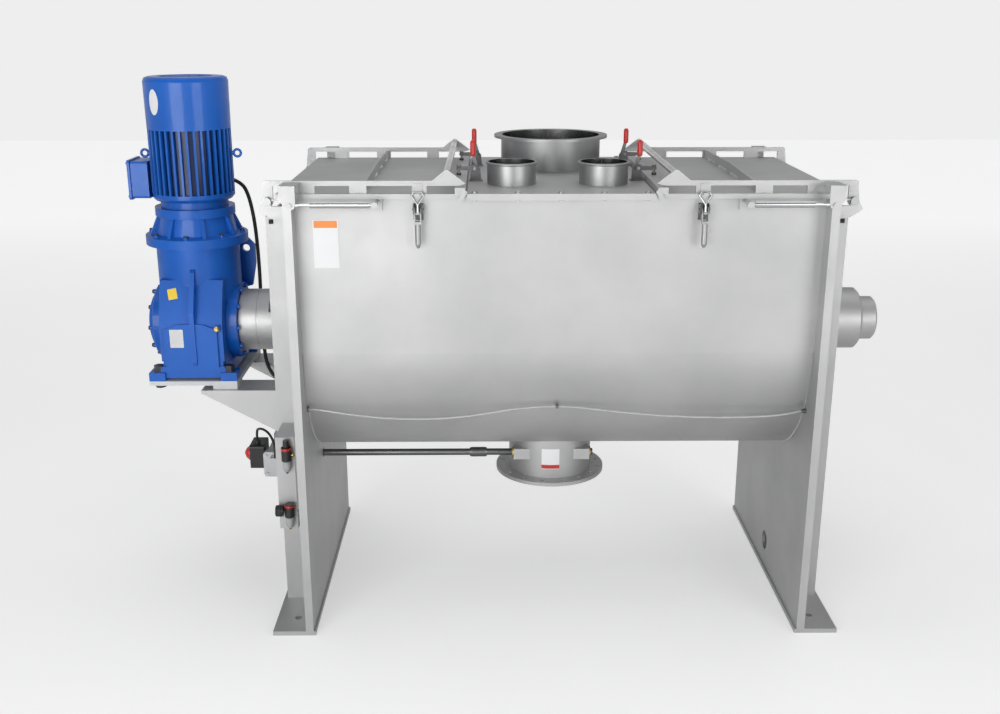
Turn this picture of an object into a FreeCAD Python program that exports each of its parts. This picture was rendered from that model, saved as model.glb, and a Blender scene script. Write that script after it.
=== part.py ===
import FreeCAD, Part
import math
import os

# Horizontal ribbon mixer: a U-shaped trough between two end frames, a shaft with double helical ribbons,
# two hinged lids on gas springs, a bottom flap valve and a vertical geared motor on the left.
# Millimetres, +X towards the far bearing, +Y to the rear, +Z up, origin at floor level in the middle.

V = FreeCAD.Vector

# End frames
WEB_INNER = 750.0        # inner face of each end plate, from the middle
WEB_T = 12.0
WEB_LIP = 24.0           # folded edge of the end plate, seen from the front
FRAME_HALF_DEPTH = 463.0
COLUMN_OUT = 865.0       # outer face of the column, from the middle
COLUMN_HALF_DEPTH = 250.0
COLUMN_T = 8.0
COLUMN_TOP = 1272.0
FOOT_T = 14.0
FOOT_INNER = 744.0
FOOT_OUTER = 876.0
ANCHOR_X = 810.0
ANCHOR_Y = 378.0
ANCHOR_R = 11.0
CABLE_HOLE_R = 32.0
CABLE_HOLE_Z = 98.0

# Trough and rim
AXIS_Z = 893.0           # height of the mixing shaft
TROUGH_R = 402.0         # outside of the shell
TROUGH_T = 5.0
RIM_Z = 1350.0           # underside of the rim bar
RIM_T = 10.0
RIM_OUT = 423.0
RIM_END = 798.0
RIM_INNER_END = 740.0
BEAM_X0 = 228.0          # cross beams under the joint between deck and lids
BEAM_X1 = 300.0
BEAM_H = 25.0
BEAM_T = 4.0

# Deck, inlets and outlet
DECK_X = 265.0
DECK_T = 5.0
DECK_LIP = 19.0
DECK_LIP_T = 4.0
DECK_LIP_GAP = 0.5
BOLT_Y = 412.0
BOLT_PITCH = 121.5
BOLT_R = 4.0
BOLT_ACROSS = 13.0
BOLT_CLEARANCE = 0.1
MAIN_Y = 190.0
MAIN_R = 162.0
MAIN_H = 103.0
MAIN_RIM_R = 185.0
MAIN_RIM_T = 8.0
NECK_T = 3.0
PORT_X = 136.0
PORT_Y = -218.0
PORT_R = 72.0
PORT_H = 65.0
PORT_RIM_R = 3.5
SPOUT_R = 136.5
SPOUT_T = 3.5
SPOUT_Z = 374.0
FLANGE_R = 180.0
FLANGE_T = 12.0
FLANGE_PCD_R = 160.0
FLANGE_HOLES = 16
FLANGE_HOLE_R = 7.0

# Flap valve
VALVE_Y = -92.0
VALVE_Z = 462.0
VALVE_SHAFT_R = 11.0
VALVE_SHAFT_GRIP = 12.0  # length of the torque tube inside the actuator
DOOR_X = 80.0            # half width of the flap
DOOR_Y = 84.0
DOOR_T = 8.0
DOOR_SEAT = 9.0          # overlap of the flap on the shell round the opening
DOOR_GAP = 3.0           # gap between the plug and the edge of the opening
DOOR_FACE_GAP = 0.3
BLOCK_HALF_Y = 24.0
BLOCK_HALF_Z = 18.0
BLOCK_X0 = 58.0
BLOCK_X1 = 124.0
BUSH_R = 15.0
RUNNING_GAP = 0.05

# Agitator
SHAFT_R = 40.0
JOURNAL_R = 35.0
SHAFT_IN_GEAR = 95.0     # length of shaft inside the gear unit
SHAFT_IN_CAP = 38.0      # length of shaft inside the end cap
RIBBON_R = 390.0
RIBBON_W = 52.0
RIBBON_T = 10.0
RIBBON_PITCH = 720.0
INNER_RIBBON_R = 245.0
INNER_RIBBON_W = 42.0
INNER_RIBBON_T = 8.0
SPOKE_R = 14.0
SPOKE_STEP = 172.5
SPOKE_STEPS = 4
RIBBON_START_DEG = 60.0

# Lids
PIVOT_X = 823.0
PIVOT_Z = 1343.0
PIVOT_R = 8.0
LID_GAP = 0.3
LID_T = 4.0
LID_INNER = 268.0
LID_OUTER = 800.0
LID_HALF_DEPTH = 423.0
RAIL_FACE = 414.0
RAIL_T = 8.0
RAIL_Z = 1400.0
RAIL_UNDER = 1386.0
PEAK_X = 322.0
PEAK_Z = 1430.0
HANDLE_R = 10.0
CHANNEL_W = 30.0
CHANNEL_H = 18.0
STIFFENER_X = 554.0
EAR_T = 8.0
EAR_GAP = 1.0
ARM_R = 16.0

# Gas springs
GAS_Y = 480.0
GAS_EYE_X = 750.0
GAS_STUD_X = 517.0
GAS_TUBE_R = 9.0
GAS_TUBE_L = 178.0
GAS_ROD_R = 4.0
GAS_ROD_IN = 105.0
GAS_EYE_R = 9.0
GAS_EYE_T = 12.0
GAS_STUD_R = 6.0
BRACKET_T = 3.5
BRACKET_GAP = 0.5

# Toggle clamps
CLAMP_X = 246.0          # pivot of the hold-down arm
CLAMP_Z = 1402.0
CLAMP_Y_FRONT = -160.0
CLAMP_Y_REAR = 200.0
CLAMP_HANDLE_X = 236.0
CLAMP_HANDLE_Z = 1394.0
CLAMP_REACH = 55.0
CLAMP_PLATE_T = 4.0
CLAMP_LAYER = 8.0        # offset of the arm and of the handle from the middle plate
CLAMP_PIN_R = 3.0
GRIP_Z0 = 1437.0
GRIP_Z1 = 1484.0
GRIP_R = 8.0

# Draw latches
LATCH_X = 402.0
LATCH_PIVOT_Y = -424.0
LATCH_PIVOT_Z = 1322.0
BAIL_PIVOT_Y = -440.0
BAIL_PIVOT_Z = 1312.0
BAIL_TOP_Y = -426.0
BAIL_TOP_Z = 1368.6
BAIL_WIRE_R = 2.5
LATCH_TIP_Z = 1213.0
KEEPER_LIP_Z = 1367.6
KEEPER_W = 11.0

# Drive
DRIVE_OFFSET = 133.0     # from the housing's end to the motor axis
SHELF_Z = 715.0
SHELF_T = 12.0
SHELF_Y0 = 95.0
SHELF_Y1 = 205.0
SHELF_L = 242.0
GUSSET_DROP = 130.0
SPACER_H = 12.0
BASE_HALF_X = 137.0
BASE_HALF_Y = 190.0
BASE_T = 14.0
GEAR_BOLT_R = 8.5
GEAR_BOLT_ACROSS = 30.0
GEAR_HALF_X = 98.0
GEAR_HALF_Y = 172.0
COVER_R = 120.0
DRUM_R = 129.0
DRUM_TOP = 1152.0
BIG_FLANGE_R = 158.0
BIG_FLANGE_TOP = 1180.0
ADAPTER_R = 112.0
SMALL_FLANGE_R = 123.0
SMALL_FLANGE_Z = 1241.0
SMALL_FLANGE_TOP = 1267.0
STATOR_Z = 1290.0
STATOR_L = 218.0
STATOR_CORE_R = 112.0
FIN_R = 126.0
FIN_COUNT = 36
COWL_R = 128.0
COWL_L = 156.0
HOUSING_R = 99.0
HOUSING_L = 135.0
BEARING_L = 127.0
CAP_R = 70.0
CAP_L = 56.0

# Valve drive and air supply
ACTUATOR_FOOT = 3.0
ACTUATOR_W = 60.0
ACTUATOR_HALF_Y = 104.0
ACTUATOR_HALF_Z = 42.0
SWITCH_PAD = 10.0
SWITCH_W = 46.0
DOME_H = 24.0
PANEL_W = 56.0
PANEL_INSET = 15.0
PANEL_FRONT = -380.0
PANEL_TOP = 624.0
PANEL_BOTTOM = 325.0
PANEL_T = 4.0
REGULATOR_INSET = 21.0
REGULATOR_Y = -398.0
UPPER_REGULATOR_Z = 572.0
LOWER_REGULATOR_Z = 388.0

# Cords
MOTOR_CABLE_D = 12.0
AIR_TUBE_D = 6.0
SWITCH_CABLE_D = 8.0

RIM_TOP = RIM_Z + RIM_T
DECK_TOP = RIM_TOP + DECK_T
LID_Z = RIM_TOP + LID_GAP
LID_TOP = LID_Z + LID_T
TROUGH_INNER_R = TROUGH_R - TROUGH_T
BASE_Z = SHELF_Z + SPACER_H
GEAR_Z = BASE_Z + BASE_T
STATOR_TOP = STATOR_Z + STATOR_L
COWL_TOP = STATOR_TOP + COWL_L
HOUSING_LEFT = -COLUMN_OUT - HOUSING_L
DRIVE_X = HOUSING_LEFT - DRIVE_OFFSET
SHELF_LEFT = -COLUMN_OUT - SHELF_L
BEARING_OUT = COLUMN_OUT + BEARING_L
CAP_OUT = BEARING_OUT + CAP_L
SHAFT_LEFT = HOUSING_LEFT - SHAFT_IN_GEAR
SHAFT_RIGHT = BEARING_OUT + SHAFT_IN_CAP
ACTUATOR_X0 = -COLUMN_OUT - ACTUATOR_FOOT
ACTUATOR_X1 = ACTUATOR_X0 - ACTUATOR_W
VALVE_SHAFT_END = ACTUATOR_X0 - VALVE_SHAFT_GRIP
SWITCH_X0 = ACTUATOR_X1 - SWITCH_PAD
SWITCH_X1 = SWITCH_X0 - SWITCH_W
DOME_OUT = SWITCH_X1 - DOME_H
PANEL_X0 = -COLUMN_OUT + PANEL_INSET
PANEL_X1 = PANEL_X0 + PANEL_W
REGULATOR_X = PANEL_X1 - REGULATOR_INSET


def box(x0, x1, y0, y1, z0, z1):
    return Part.makeBox(abs(x1 - x0), abs(y1 - y0), abs(z1 - z0), V(min(x0, x1), min(y0, y1), min(z0, z1)))


def rod_x(x0, x1, y, z, r):
    return Part.makeCylinder(r, abs(x1 - x0), V(min(x0, x1), y, z), V(1, 0, 0))


def rod_y(y0, y1, x, z, r):
    return Part.makeCylinder(r, abs(y1 - y0), V(x, min(y0, y1), z), V(0, 1, 0))


def rod_z(z0, z1, x, y, r):
    return Part.makeCylinder(r, abs(z1 - z0), V(x, y, min(z0, z1)), V(0, 0, 1))


def hexagon_z(z0, z1, x, y, across):
    corners = [V(x + across / math.sqrt(3) * math.cos(math.radians(60 * i)),
                 y + across / math.sqrt(3) * math.sin(math.radians(60 * i)), z0) for i in range(6)]
    return Part.Face(Part.makePolygon(corners + corners[:1])).extrude(V(0, 0, z1 - z0))


def plate_xz(points, y0, y1):
    corners = [V(x, y0, z) for x, z in points]
    return Part.Face(Part.makePolygon(corners + corners[:1])).extrude(V(0, y1 - y0, 0))


def plate_yz(points, x0, x1):
    corners = [V(x0, y, z) for y, z in points]
    return Part.Face(Part.makePolygon(corners + corners[:1])).extrude(V(x1 - x0, 0, 0))


def plate_xy(points, z0, z1):
    corners = [V(x, y, z0) for x, y in points]
    return Part.Face(Part.makePolygon(corners + corners[:1])).extrude(V(0, 0, z1 - z0))


def turned_z(points, x, y):
    """A round piece about a vertical axis, from (radius, height) corners."""
    corners = [V(x + r, y, z) for r, z in points]
    return Part.Face(Part.makePolygon(corners + corners[:1])).revolve(V(x, y, 0), V(0, 0, 1), 360)


def turned_x(points, y, z):
    """A round piece about an axis along X, from (x, radius) corners."""
    corners = [V(x, y, z + r) for x, r in points]
    return Part.Face(Part.makePolygon(corners + corners[:1])).revolve(V(0, y, z), V(1, 0, 0), 360)


def fused(shapes):
    first = shapes[0]
    return first.fuse(shapes[1:]).removeSplitter() if len(shapes) > 1 else first


def cut(shape, tools):
    return shape.cut(tools)


def mirrored_x(shape):
    return shape.mirror(V(0, 0, 0), V(1, 0, 0))


def mirrored_y(shape):
    return shape.mirror(V(0, 0, 0), V(0, 1, 0))


def both_ends(shape):
    return [shape, mirrored_y(shape)]


def export(name, shapes):
    solids = []
    for shape in shapes if isinstance(shapes, list) else [shapes]:
        solids.extend(shape.Solids)
    result = solids[0] if len(solids) == 1 else Part.makeCompound(solids)
    result.exportStep("parts/" + name + ".step")


# Frame


def end_frame():
    """Right-hand end frame: plate with folded edges, outer column, foot plate and hinge ears."""
    web = box(WEB_INNER, WEB_INNER + WEB_T, -FRAME_HALF_DEPTH, FRAME_HALF_DEPTH, FOOT_T, RIM_Z)
    lip = box(WEB_INNER, WEB_INNER + WEB_LIP, -FRAME_HALF_DEPTH, -FRAME_HALF_DEPTH + WEB_T / 2, FOOT_T,
              RIM_Z)
    column_inner = WEB_INNER + WEB_T
    front = box(column_inner, COLUMN_OUT, -COLUMN_HALF_DEPTH, -COLUMN_HALF_DEPTH + COLUMN_T, FOOT_T,
                COLUMN_TOP)
    outer = box(COLUMN_OUT - COLUMN_T, COLUMN_OUT, -COLUMN_HALF_DEPTH, COLUMN_HALF_DEPTH, FOOT_T,
                COLUMN_TOP)
    foot = box(FOOT_INNER, FOOT_OUTER, -FRAME_HALF_DEPTH, FRAME_HALF_DEPTH, 0, FOOT_T)
    ear = hinge_ear()
    frame = fused([web, foot, outer] + both_ends(lip) + both_ends(front) + both_ends(ear))
    bores = [rod_x(WEB_INNER - 1, WEB_INNER + WEB_T + 1, 0, AXIS_Z, SHAFT_R + 4),
             rod_x(COLUMN_OUT - COLUMN_T - 1, COLUMN_OUT + 1, 0, AXIS_Z, JOURNAL_R + 15)]
    anchors = [rod_z(-1, FOOT_T + 1, ANCHOR_X, sign * ANCHOR_Y, ANCHOR_R) for sign in (-1, 1)]
    pivots = [rod_y(-RIM_OUT - 1, RIM_OUT + 1, PIVOT_X, PIVOT_Z, PIVOT_R)]
    pivots.append(box(COLUMN_OUT - 24, COLUMN_OUT - 10, -COLUMN_HALF_DEPTH - 1,
                      -COLUMN_HALF_DEPTH + COLUMN_T + 1,
                      COLUMN_TOP - 22, COLUMN_TOP - 8))
    return cut(frame, bores + anchors + pivots)


def hinge_ear():
    """Flat ear on the outside of the end plate, with the slot beside the pivot."""
    y0 = -RIM_OUT
    column_inner = WEB_INNER + WEB_T
    outline = [(column_inner, RIM_Z - 60), (PIVOT_X - 9, RIM_Z - 53), (PIVOT_X + 20, RIM_Z - 36),
               (PIVOT_X + 25, RIM_Z - 28), (PIVOT_X + 20, RIM_Z - 18), (PIVOT_X + 9, RIM_Z),
               (column_inner, RIM_Z)]
    slot = box(PIVOT_X - 42, PIVOT_X - PIVOT_R - 3, y0 - 1, y0 + EAR_T + 1, RIM_Z - 20, RIM_Z - 5)
    return cut(plate_xz(outline, y0, y0 + EAR_T), [slot])


def left_end_frame():
    frame = mirrored_x(end_frame())
    reach = rod_x(-WEB_INNER + 1, -COLUMN_OUT - 1, VALVE_Y, VALVE_Z, VALVE_SHAFT_R + 5)
    return cut(frame, [reach])


def right_end_frame():
    hole = rod_x(WEB_INNER - 1, WEB_INNER + WEB_T + 1, -10, CABLE_HOLE_Z, CABLE_HOLE_R)
    return cut(end_frame(), [hole])


def hinge_pins():
    pins = []
    shank = rod_y(-RIM_OUT, -RAIL_FACE + RAIL_T + 0.5, PIVOT_X, PIVOT_Z, PIVOT_R - RUNNING_GAP)
    head = rod_y(-RIM_OUT - 6, -RIM_OUT, PIVOT_X, PIVOT_Z, PIVOT_R + 4)
    nut = rod_y(-RAIL_FACE + RAIL_T + 0.5, -RAIL_FACE + RAIL_T + 7, PIVOT_X, PIVOT_Z, PIVOT_R + 4)
    pin = fused([shank, head, nut])
    for shape in both_ends(pin):
        pins += [shape, mirrored_x(shape)]
    return pins


# Trough


def u_solid(radius, top, x0, x1):
    """A solid with the section of the trough: half round below the axis, straight above it."""
    lower = rod_x(x0, x1, 0, AXIS_Z, radius)
    upper = box(x0, x1, -radius, radius, AXIS_Z, top)
    return lower.fuse(upper).common(box(x0, x1, -radius, radius, AXIS_Z - radius - 1, top)).removeSplitter()


def door_opening(clear):
    half_x = DOOR_X - DOOR_SEAT + clear
    half_y = DOOR_Y - DOOR_SEAT + clear
    return box(-half_x, half_x, -half_y, half_y, AXIS_Z - TROUGH_R - 20, AXIS_Z - TROUGH_INNER_R / 2)


def gas_lug_and_stud():
    """Small plate on the trough wall with the stud that carries the gas spring."""
    lug = box(GAS_STUD_X - 14, GAS_STUD_X + 14, -TROUGH_R - 7, -TROUGH_R, PIVOT_Z - 26, RIM_Z)
    stud = rod_y(-TROUGH_R - 7, -GAS_Y - 12, GAS_STUD_X, PIVOT_Z, GAS_STUD_R - RUNNING_GAP)
    clip = rod_y(-GAS_Y - 8, -GAS_Y - 12, GAS_STUD_X, PIVOT_Z, GAS_STUD_R + 3)
    return fused([lug, stud, clip])


def trough_shell():
    outer = u_solid(TROUGH_R, RIM_Z, -WEB_INNER, WEB_INNER)
    inner = u_solid(TROUGH_INNER_R, RIM_Z + 1, -WEB_INNER, WEB_INNER)
    shell = cut(outer, [inner, door_opening(0)])
    rim = box(-RIM_END, RIM_END, -RIM_OUT, RIM_OUT, RIM_Z, RIM_TOP)
    mouth = box(-RIM_INNER_END, RIM_INNER_END, -TROUGH_INNER_R, TROUGH_INNER_R, RIM_Z, RIM_TOP)
    studs = []
    for shape in both_ends(gas_lug_and_stud()):
        studs += [shape, mirrored_x(shape)]
    body = fused([shell, cut(rim, [mouth])] + studs)
    holes = [rod_z(RIM_Z - 1, RIM_TOP + 1, x, y, BOLT_R + BOLT_CLEARANCE) for x, y in bolt_places()]
    return cut(body, holes)


def bolt_places():
    return [(BOLT_PITCH * i, sign * BOLT_Y) for i in range(-2, 3) for sign in (-1, 1)]


def cross_beams():
    """Two channels across the mouth, open side down, that carry the joint between deck and lids."""
    top = RIM_TOP - 0.2
    outside = box(BEAM_X0, BEAM_X1, -TROUGH_INNER_R, TROUGH_INNER_R, top - BEAM_H, top)
    inside = box(BEAM_X0 + BEAM_T, BEAM_X1 - BEAM_T, -TROUGH_INNER_R, TROUGH_INNER_R, top - BEAM_H,
                 top - BEAM_T)
    beam = cut(outside, [inside])
    return [beam, mirrored_x(beam)]


def centre_deck():
    edge = RIM_OUT + DECK_LIP_GAP + DECK_LIP_T
    plate = box(-DECK_X, DECK_X, -edge, edge, RIM_TOP, DECK_TOP)
    lip = box(-DECK_X, DECK_X, -edge, -edge + DECK_LIP_T, DECK_TOP - DECK_LIP, DECK_TOP)
    deck = fused([plate] + both_ends(lip))
    holes = [rod_z(RIM_TOP - 1, DECK_TOP + 1, 0, MAIN_Y, MAIN_R - NECK_T)]
    holes += [rod_z(RIM_TOP - 1, DECK_TOP + 1, s * PORT_X, PORT_Y, PORT_R - NECK_T) for s in (-1, 1)]
    holes += [rod_z(RIM_TOP - 1, DECK_TOP + 1, x, y, BOLT_R + BOLT_CLEARANCE) for x, y in bolt_places()]
    return cut(deck, holes)


def inlet_necks():
    top = DECK_TOP + MAIN_H
    inner = MAIN_R - NECK_T
    main = turned_z([(inner, DECK_TOP), (MAIN_R, DECK_TOP), (MAIN_R, top - MAIN_RIM_T),
                     (MAIN_RIM_R, top - MAIN_RIM_T), (MAIN_RIM_R, top), (inner, top)], 0, MAIN_Y)
    ports = []
    port_top = DECK_TOP + PORT_H
    inner = PORT_R - NECK_T
    for side in (-1, 1):
        tube = turned_z([(inner, DECK_TOP), (PORT_R, DECK_TOP), (PORT_R, port_top), (inner, port_top)],
                        side * PORT_X, PORT_Y)
        bead = Part.makeTorus(PORT_R + 1, PORT_RIM_R, V(side * PORT_X, PORT_Y, port_top - PORT_RIM_R))
        bore = rod_z(DECK_TOP - 1, port_top + 1, side * PORT_X, PORT_Y, inner)
        ports.append(cut(fused([tube, bead]), [bore]))
    return [main] + ports


def deck_bolts():
    bolts = []
    for x, y in bolt_places():
        head = hexagon_z(DECK_TOP, DECK_TOP + 5, x, y, BOLT_ACROSS)
        shank = rod_z(RIM_Z - 8, DECK_TOP, x, y, BOLT_R)
        nut = hexagon_z(RIM_Z - 7, RIM_Z, x, y, BOLT_ACROSS)
        bolts.append(fused([head, shank, nut]))
    return bolts


# Outlet and valve


def outlet_spout():
    pipe = rod_z(SPOUT_Z, AXIS_Z - TROUGH_R / 2, 0, 0, SPOUT_R)
    flange = rod_z(SPOUT_Z, SPOUT_Z + FLANGE_T, 0, 0, FLANGE_R)
    blocks = [box(s * BLOCK_X0, s * BLOCK_X1, VALVE_Y - BLOCK_HALF_Y, VALVE_Y + BLOCK_HALF_Y,
                  VALVE_Z - BLOCK_HALF_Z, VALVE_Z + BLOCK_HALF_Z) for s in (-1, 1)]
    spout = fused([pipe, flange] + blocks)
    bore = rod_z(SPOUT_Z - 1, AXIS_Z, 0, 0, SPOUT_R - SPOUT_T)
    shell = rod_x(-FLANGE_R - 1, FLANGE_R + 1, 0, AXIS_Z, TROUGH_R)
    holes = [rod_z(SPOUT_Z - 1, SPOUT_Z + FLANGE_T + 1,
                   FLANGE_PCD_R * math.cos(2 * math.pi * (i + 0.5) / FLANGE_HOLES),
                   FLANGE_PCD_R * math.sin(2 * math.pi * (i + 0.5) / FLANGE_HOLES), FLANGE_HOLE_R)
             for i in range(FLANGE_HOLES)]
    bearing = rod_x(-BLOCK_X1 - 1, BLOCK_X1 + 1, VALVE_Y, VALVE_Z, BUSH_R + RUNNING_GAP)
    return cut(spout, [bore, shell, bearing] + holes)


def valve_bushes():
    end = BLOCK_X1 + 5
    bush = turned_x([(100, VALVE_SHAFT_R + RUNNING_GAP), (100, BUSH_R), (BLOCK_X1, BUSH_R),
                     (BLOCK_X1, BUSH_R + 2), (end, BUSH_R + 2), (end, VALVE_SHAFT_R + RUNNING_GAP)],
                    VALVE_Y, VALVE_Z)
    return [bush, mirrored_x(bush)]


def valve_flap():
    """Curved door with the plug that fills the opening, hung on two arms from the cross shaft."""
    top_r = TROUGH_R + DOOR_FACE_GAP
    low = AXIS_Z - TROUGH_R - 40
    window = box(-DOOR_X, DOOR_X, -DOOR_Y, DOOR_Y, low, AXIS_Z - TROUGH_R / 2)
    plate = cut(rod_x(-DOOR_X, DOOR_X, 0, AXIS_Z, top_r + DOOR_T),
                [rod_x(-DOOR_X, DOOR_X, 0, AXIS_Z, top_r)])
    plate = plate.common(window)
    plug = cut(rod_x(-DOOR_X, DOOR_X, 0, AXIS_Z, top_r + 1),
               [rod_x(-DOOR_X, DOOR_X, 0, AXIS_Z, TROUGH_INNER_R)])
    plug = plug.common(door_opening(-DOOR_GAP))
    arms = []
    door_low = AXIS_Z - top_r - DOOR_T
    for side in (-1, 1):
        hub = rod_x(side * 30, side * 44, VALVE_Y, VALVE_Z, BUSH_R)
        arm = plate_yz([(VALVE_Y, VALVE_Z - 12), (40, door_low - 8), (60, door_low + 6),
                        (VALVE_Y + 8, door_low + 14),
                        (VALVE_Y - 6, VALVE_Z + 10)], side * 32, side * 42)
        web = cut(arm, [rod_x(-DOOR_X, DOOR_X, 0, AXIS_Z, top_r + DOOR_T - 1)])
        arms += [hub, web]
    door = fused([plate, plug] + arms)
    return cut(door, [rod_x(-DOOR_X, DOOR_X, VALVE_Y, VALVE_Z, VALVE_SHAFT_R)])


def valve_shaft():
    """Cross shaft, coupling sleeve and the long torque tube to the actuator, in one line."""
    shaft = rod_x(VALVE_SHAFT_END, BLOCK_X1 + 12, VALVE_Y, VALVE_Z, VALVE_SHAFT_R)
    sleeve = turned_x([(-268, 0), (-268, 14), (-262, 16), (-218, 16), (-212, 14), (-212, 0)], VALVE_Y,
                      VALVE_Z)
    return fused([shaft, sleeve])


def valve_actuator():
    """Rack and pinion actuator across the shaft, with end caps, and its solenoid valve."""
    y0 = VALVE_Y - ACTUATOR_HALF_Y
    y1 = VALVE_Y + ACTUATOR_HALF_Y
    body = box(ACTUATOR_X1 + 4, ACTUATOR_X0, y0 + 18, y1 - 18, VALVE_Z - 36, VALVE_Z + 36)
    body = body.makeFillet(12, [e for e in body.Edges if abs(e.tangentAt(e.FirstParameter).y) > 0.9])
    caps = []
    for ya, yb in ((y0, y0 + 18), (y1 - 18, y1)):
        cap = box(ACTUATOR_X1, ACTUATOR_X0, ya, yb, VALVE_Z - ACTUATOR_HALF_Z, VALVE_Z + ACTUATOR_HALF_Z)
        along = [e for e in cap.Edges if abs(e.tangentAt(e.FirstParameter).y) > 0.9]
        caps.append(cap.makeFillet(10, along))
    screws = [rod_y(y0 - 4, y0, x, VALVE_Z + dz, 4.5)
              for x in (ACTUATOR_X1 + 10, ACTUATOR_X0 - 12) for dz in (-31, 31)]
    pad = rod_x(ACTUATOR_X1 - 10, ACTUATOR_X1 + 4, VALVE_Y, VALVE_Z, 18)
    foot = box(ACTUATOR_X0, -COLUMN_OUT, VALVE_Y - 30, VALVE_Y + 30, VALVE_Z - 30, VALVE_Z + 30)
    shaft_way = rod_x(VALVE_SHAFT_END - 0.5, -COLUMN_OUT, VALVE_Y, VALVE_Z, VALVE_SHAFT_R + RUNNING_GAP)
    solenoid = box(ACTUATOR_X0 - 32, ACTUATOR_X0 - 4, y0 - 34, y0, VALVE_Z + 2, VALVE_Z + 34)
    whole = fused([body, pad, foot, solenoid] + caps + screws)
    return cut(whole, [shaft_way])


def limit_switch_box():
    case = box(SWITCH_X1, SWITCH_X0, VALVE_Y - 44, VALVE_Y + 44, VALVE_Z - 40, VALVE_Z + 40)
    case = case.makeFillet(9, [e for e in case.Edges if abs(e.tangentAt(e.FirstParameter).x) > 0.9])
    gland = rod_z(VALVE_Z + 40, VALVE_Z + 54, (SWITCH_X0 + SWITCH_X1) / 2 - 1, VALVE_Y - 20, 10)
    dome = turned_x([(SWITCH_X1, 0), (SWITCH_X1, 26), (SWITCH_X1 - 8, 25), (SWITCH_X1 - 18, 17),
                     (DOME_OUT, 6),
                     (DOME_OUT, 0)], VALVE_Y, VALVE_Z)
    return fused([case, gland, dome])


# Agitator


def main_shaft():
    middle = rod_x(-WEB_INNER - WEB_T, WEB_INNER + WEB_T, 0, AXIS_Z, SHAFT_R)
    journals = rod_x(SHAFT_LEFT, SHAFT_RIGHT, 0, AXIS_Z, JOURNAL_R)
    return fused([middle, journals])


def ribbon(outer_r, width, thickness, pitch, start_deg, hand):
    """One helical flight from the middle to the end spoke, for x above 0."""
    length = SPOKE_STEP * SPOKE_STEPS
    helix = Part.makeHelix(pitch, length, outer_r - width / 2, 0, hand < 0)
    r0 = outer_r - width
    profile = Part.makePolygon([V(r0, 0, -thickness / 2), V(outer_r, 0, -thickness / 2),
                                V(outer_r, 0, thickness / 2), V(r0, 0, thickness / 2),
                                V(r0, 0, -thickness / 2)])
    flight = Part.Wire(helix.Edges).makePipeShell([profile], True, True)
    flight.rotate(V(0, 0, 0), V(0, 0, 1), start_deg)
    flight.rotate(V(0, 0, 0), V(0, 1, 0), 90)
    flight.translate(V(0, 0, AXIS_Z))
    return flight


def outer_ribbons():
    flights = []
    for start in (0, 180):
        flight = ribbon(RIBBON_R, RIBBON_W, RIBBON_T, RIBBON_PITCH, RIBBON_START_DEG + start, 1)
        flight = flight.common(box(RIBBON_T / 2 + 1, WEB_INNER, -RIBBON_R, RIBBON_R, 0, 2 * AXIS_Z))
        flights += [flight, mirrored_x(flight)]
    return flights


def inner_pitch():
    """Pitch at which the inner flights meet every spoke, turning the other way."""
    return 1.0 / (1.0 / (2 * SPOKE_STEP) - 1.0 / RIBBON_PITCH)


def inner_ribbons():
    flights = []
    for start in (0, 180):
        flight = ribbon(INNER_RIBBON_R, INNER_RIBBON_W, INNER_RIBBON_T, inner_pitch(),
                        RIBBON_START_DEG + start, -1)
        flight = flight.common(box(RIBBON_T / 2 + 1, WEB_INNER, -RIBBON_R, RIBBON_R, 0, 2 * AXIS_Z))
        flights += [flight, mirrored_x(flight)]
    return flights


def ribbon_spokes():
    """Bars through the shaft, one for each step along it, set at the angle of the outer flight."""
    spokes = []
    reach = RIBBON_R - RIBBON_W / 2
    for i in range(-SPOKE_STEPS, SPOKE_STEPS + 1):
        x = i * SPOKE_STEP
        turn = RIBBON_START_DEG + 360.0 * abs(x) / RIBBON_PITCH
        bar = Part.makeCylinder(SPOKE_R, 2 * reach, V(x, 0, AXIS_Z - reach), V(0, 0, 1))
        bar.rotate(V(x, 0, AXIS_Z), V(1, 0, 0), 0)
        spokes.append((bar, x, turn))
    placed = []
    for bar, x, turn in spokes:
        bar.rotate(V(x, 0, AXIS_Z), V(1, 0, 0), turn + 180)
        placed.append(cut(bar, [rod_x(x - 2 * SPOKE_R, x + 2 * SPOKE_R, 0, AXIS_Z, SHAFT_R)]))
    return placed


# Lids, drawn for the right-hand side


def lid_sheet():
    sheet = box(LID_INNER, LID_OUTER, -LID_HALF_DEPTH, LID_HALF_DEPTH, LID_Z, LID_TOP)
    top = LID_TOP + CHANNEL_H
    channel = box(LID_INNER, LID_INNER + CHANNEL_W, -LID_HALF_DEPTH - 5, LID_HALF_DEPTH + 5, LID_TOP, top)
    hollow = box(LID_INNER + LID_T, LID_INNER + CHANNEL_W - LID_T, LID_T - LID_HALF_DEPTH, LID_HALF_DEPTH + 6,
                 LID_TOP, top - LID_T)
    end = plate_xz([(LID_INNER - 5, top - 12), (LID_INNER + 5, top), (LID_INNER + 22, RIM_Z - 3),
                    (LID_INNER + 8, RIM_Z - 3)], -LID_HALF_DEPTH - 11, -LID_HALF_DEPTH - 5)
    stiffener = plate_yz([(-RAIL_FACE + RAIL_T, LID_TOP), (-RAIL_FACE + RAIL_T, LID_TOP + 26),
                          (0, LID_TOP + 36),
                          (RAIL_FACE - RAIL_T, LID_TOP + 26), (RAIL_FACE - RAIL_T, LID_TOP)],
                         STIFFENER_X - 3, STIFFENER_X + 3)
    slots = [box(STIFFENER_X - 4, STIFFENER_X + 4, y - 60, y + 60, LID_TOP, LID_TOP + 10)
             for y in (-270, -90, 90, 270)]
    return fused([sheet, cut(channel, [hollow]), cut(stiffener, slots)] + both_ends(end))


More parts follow.
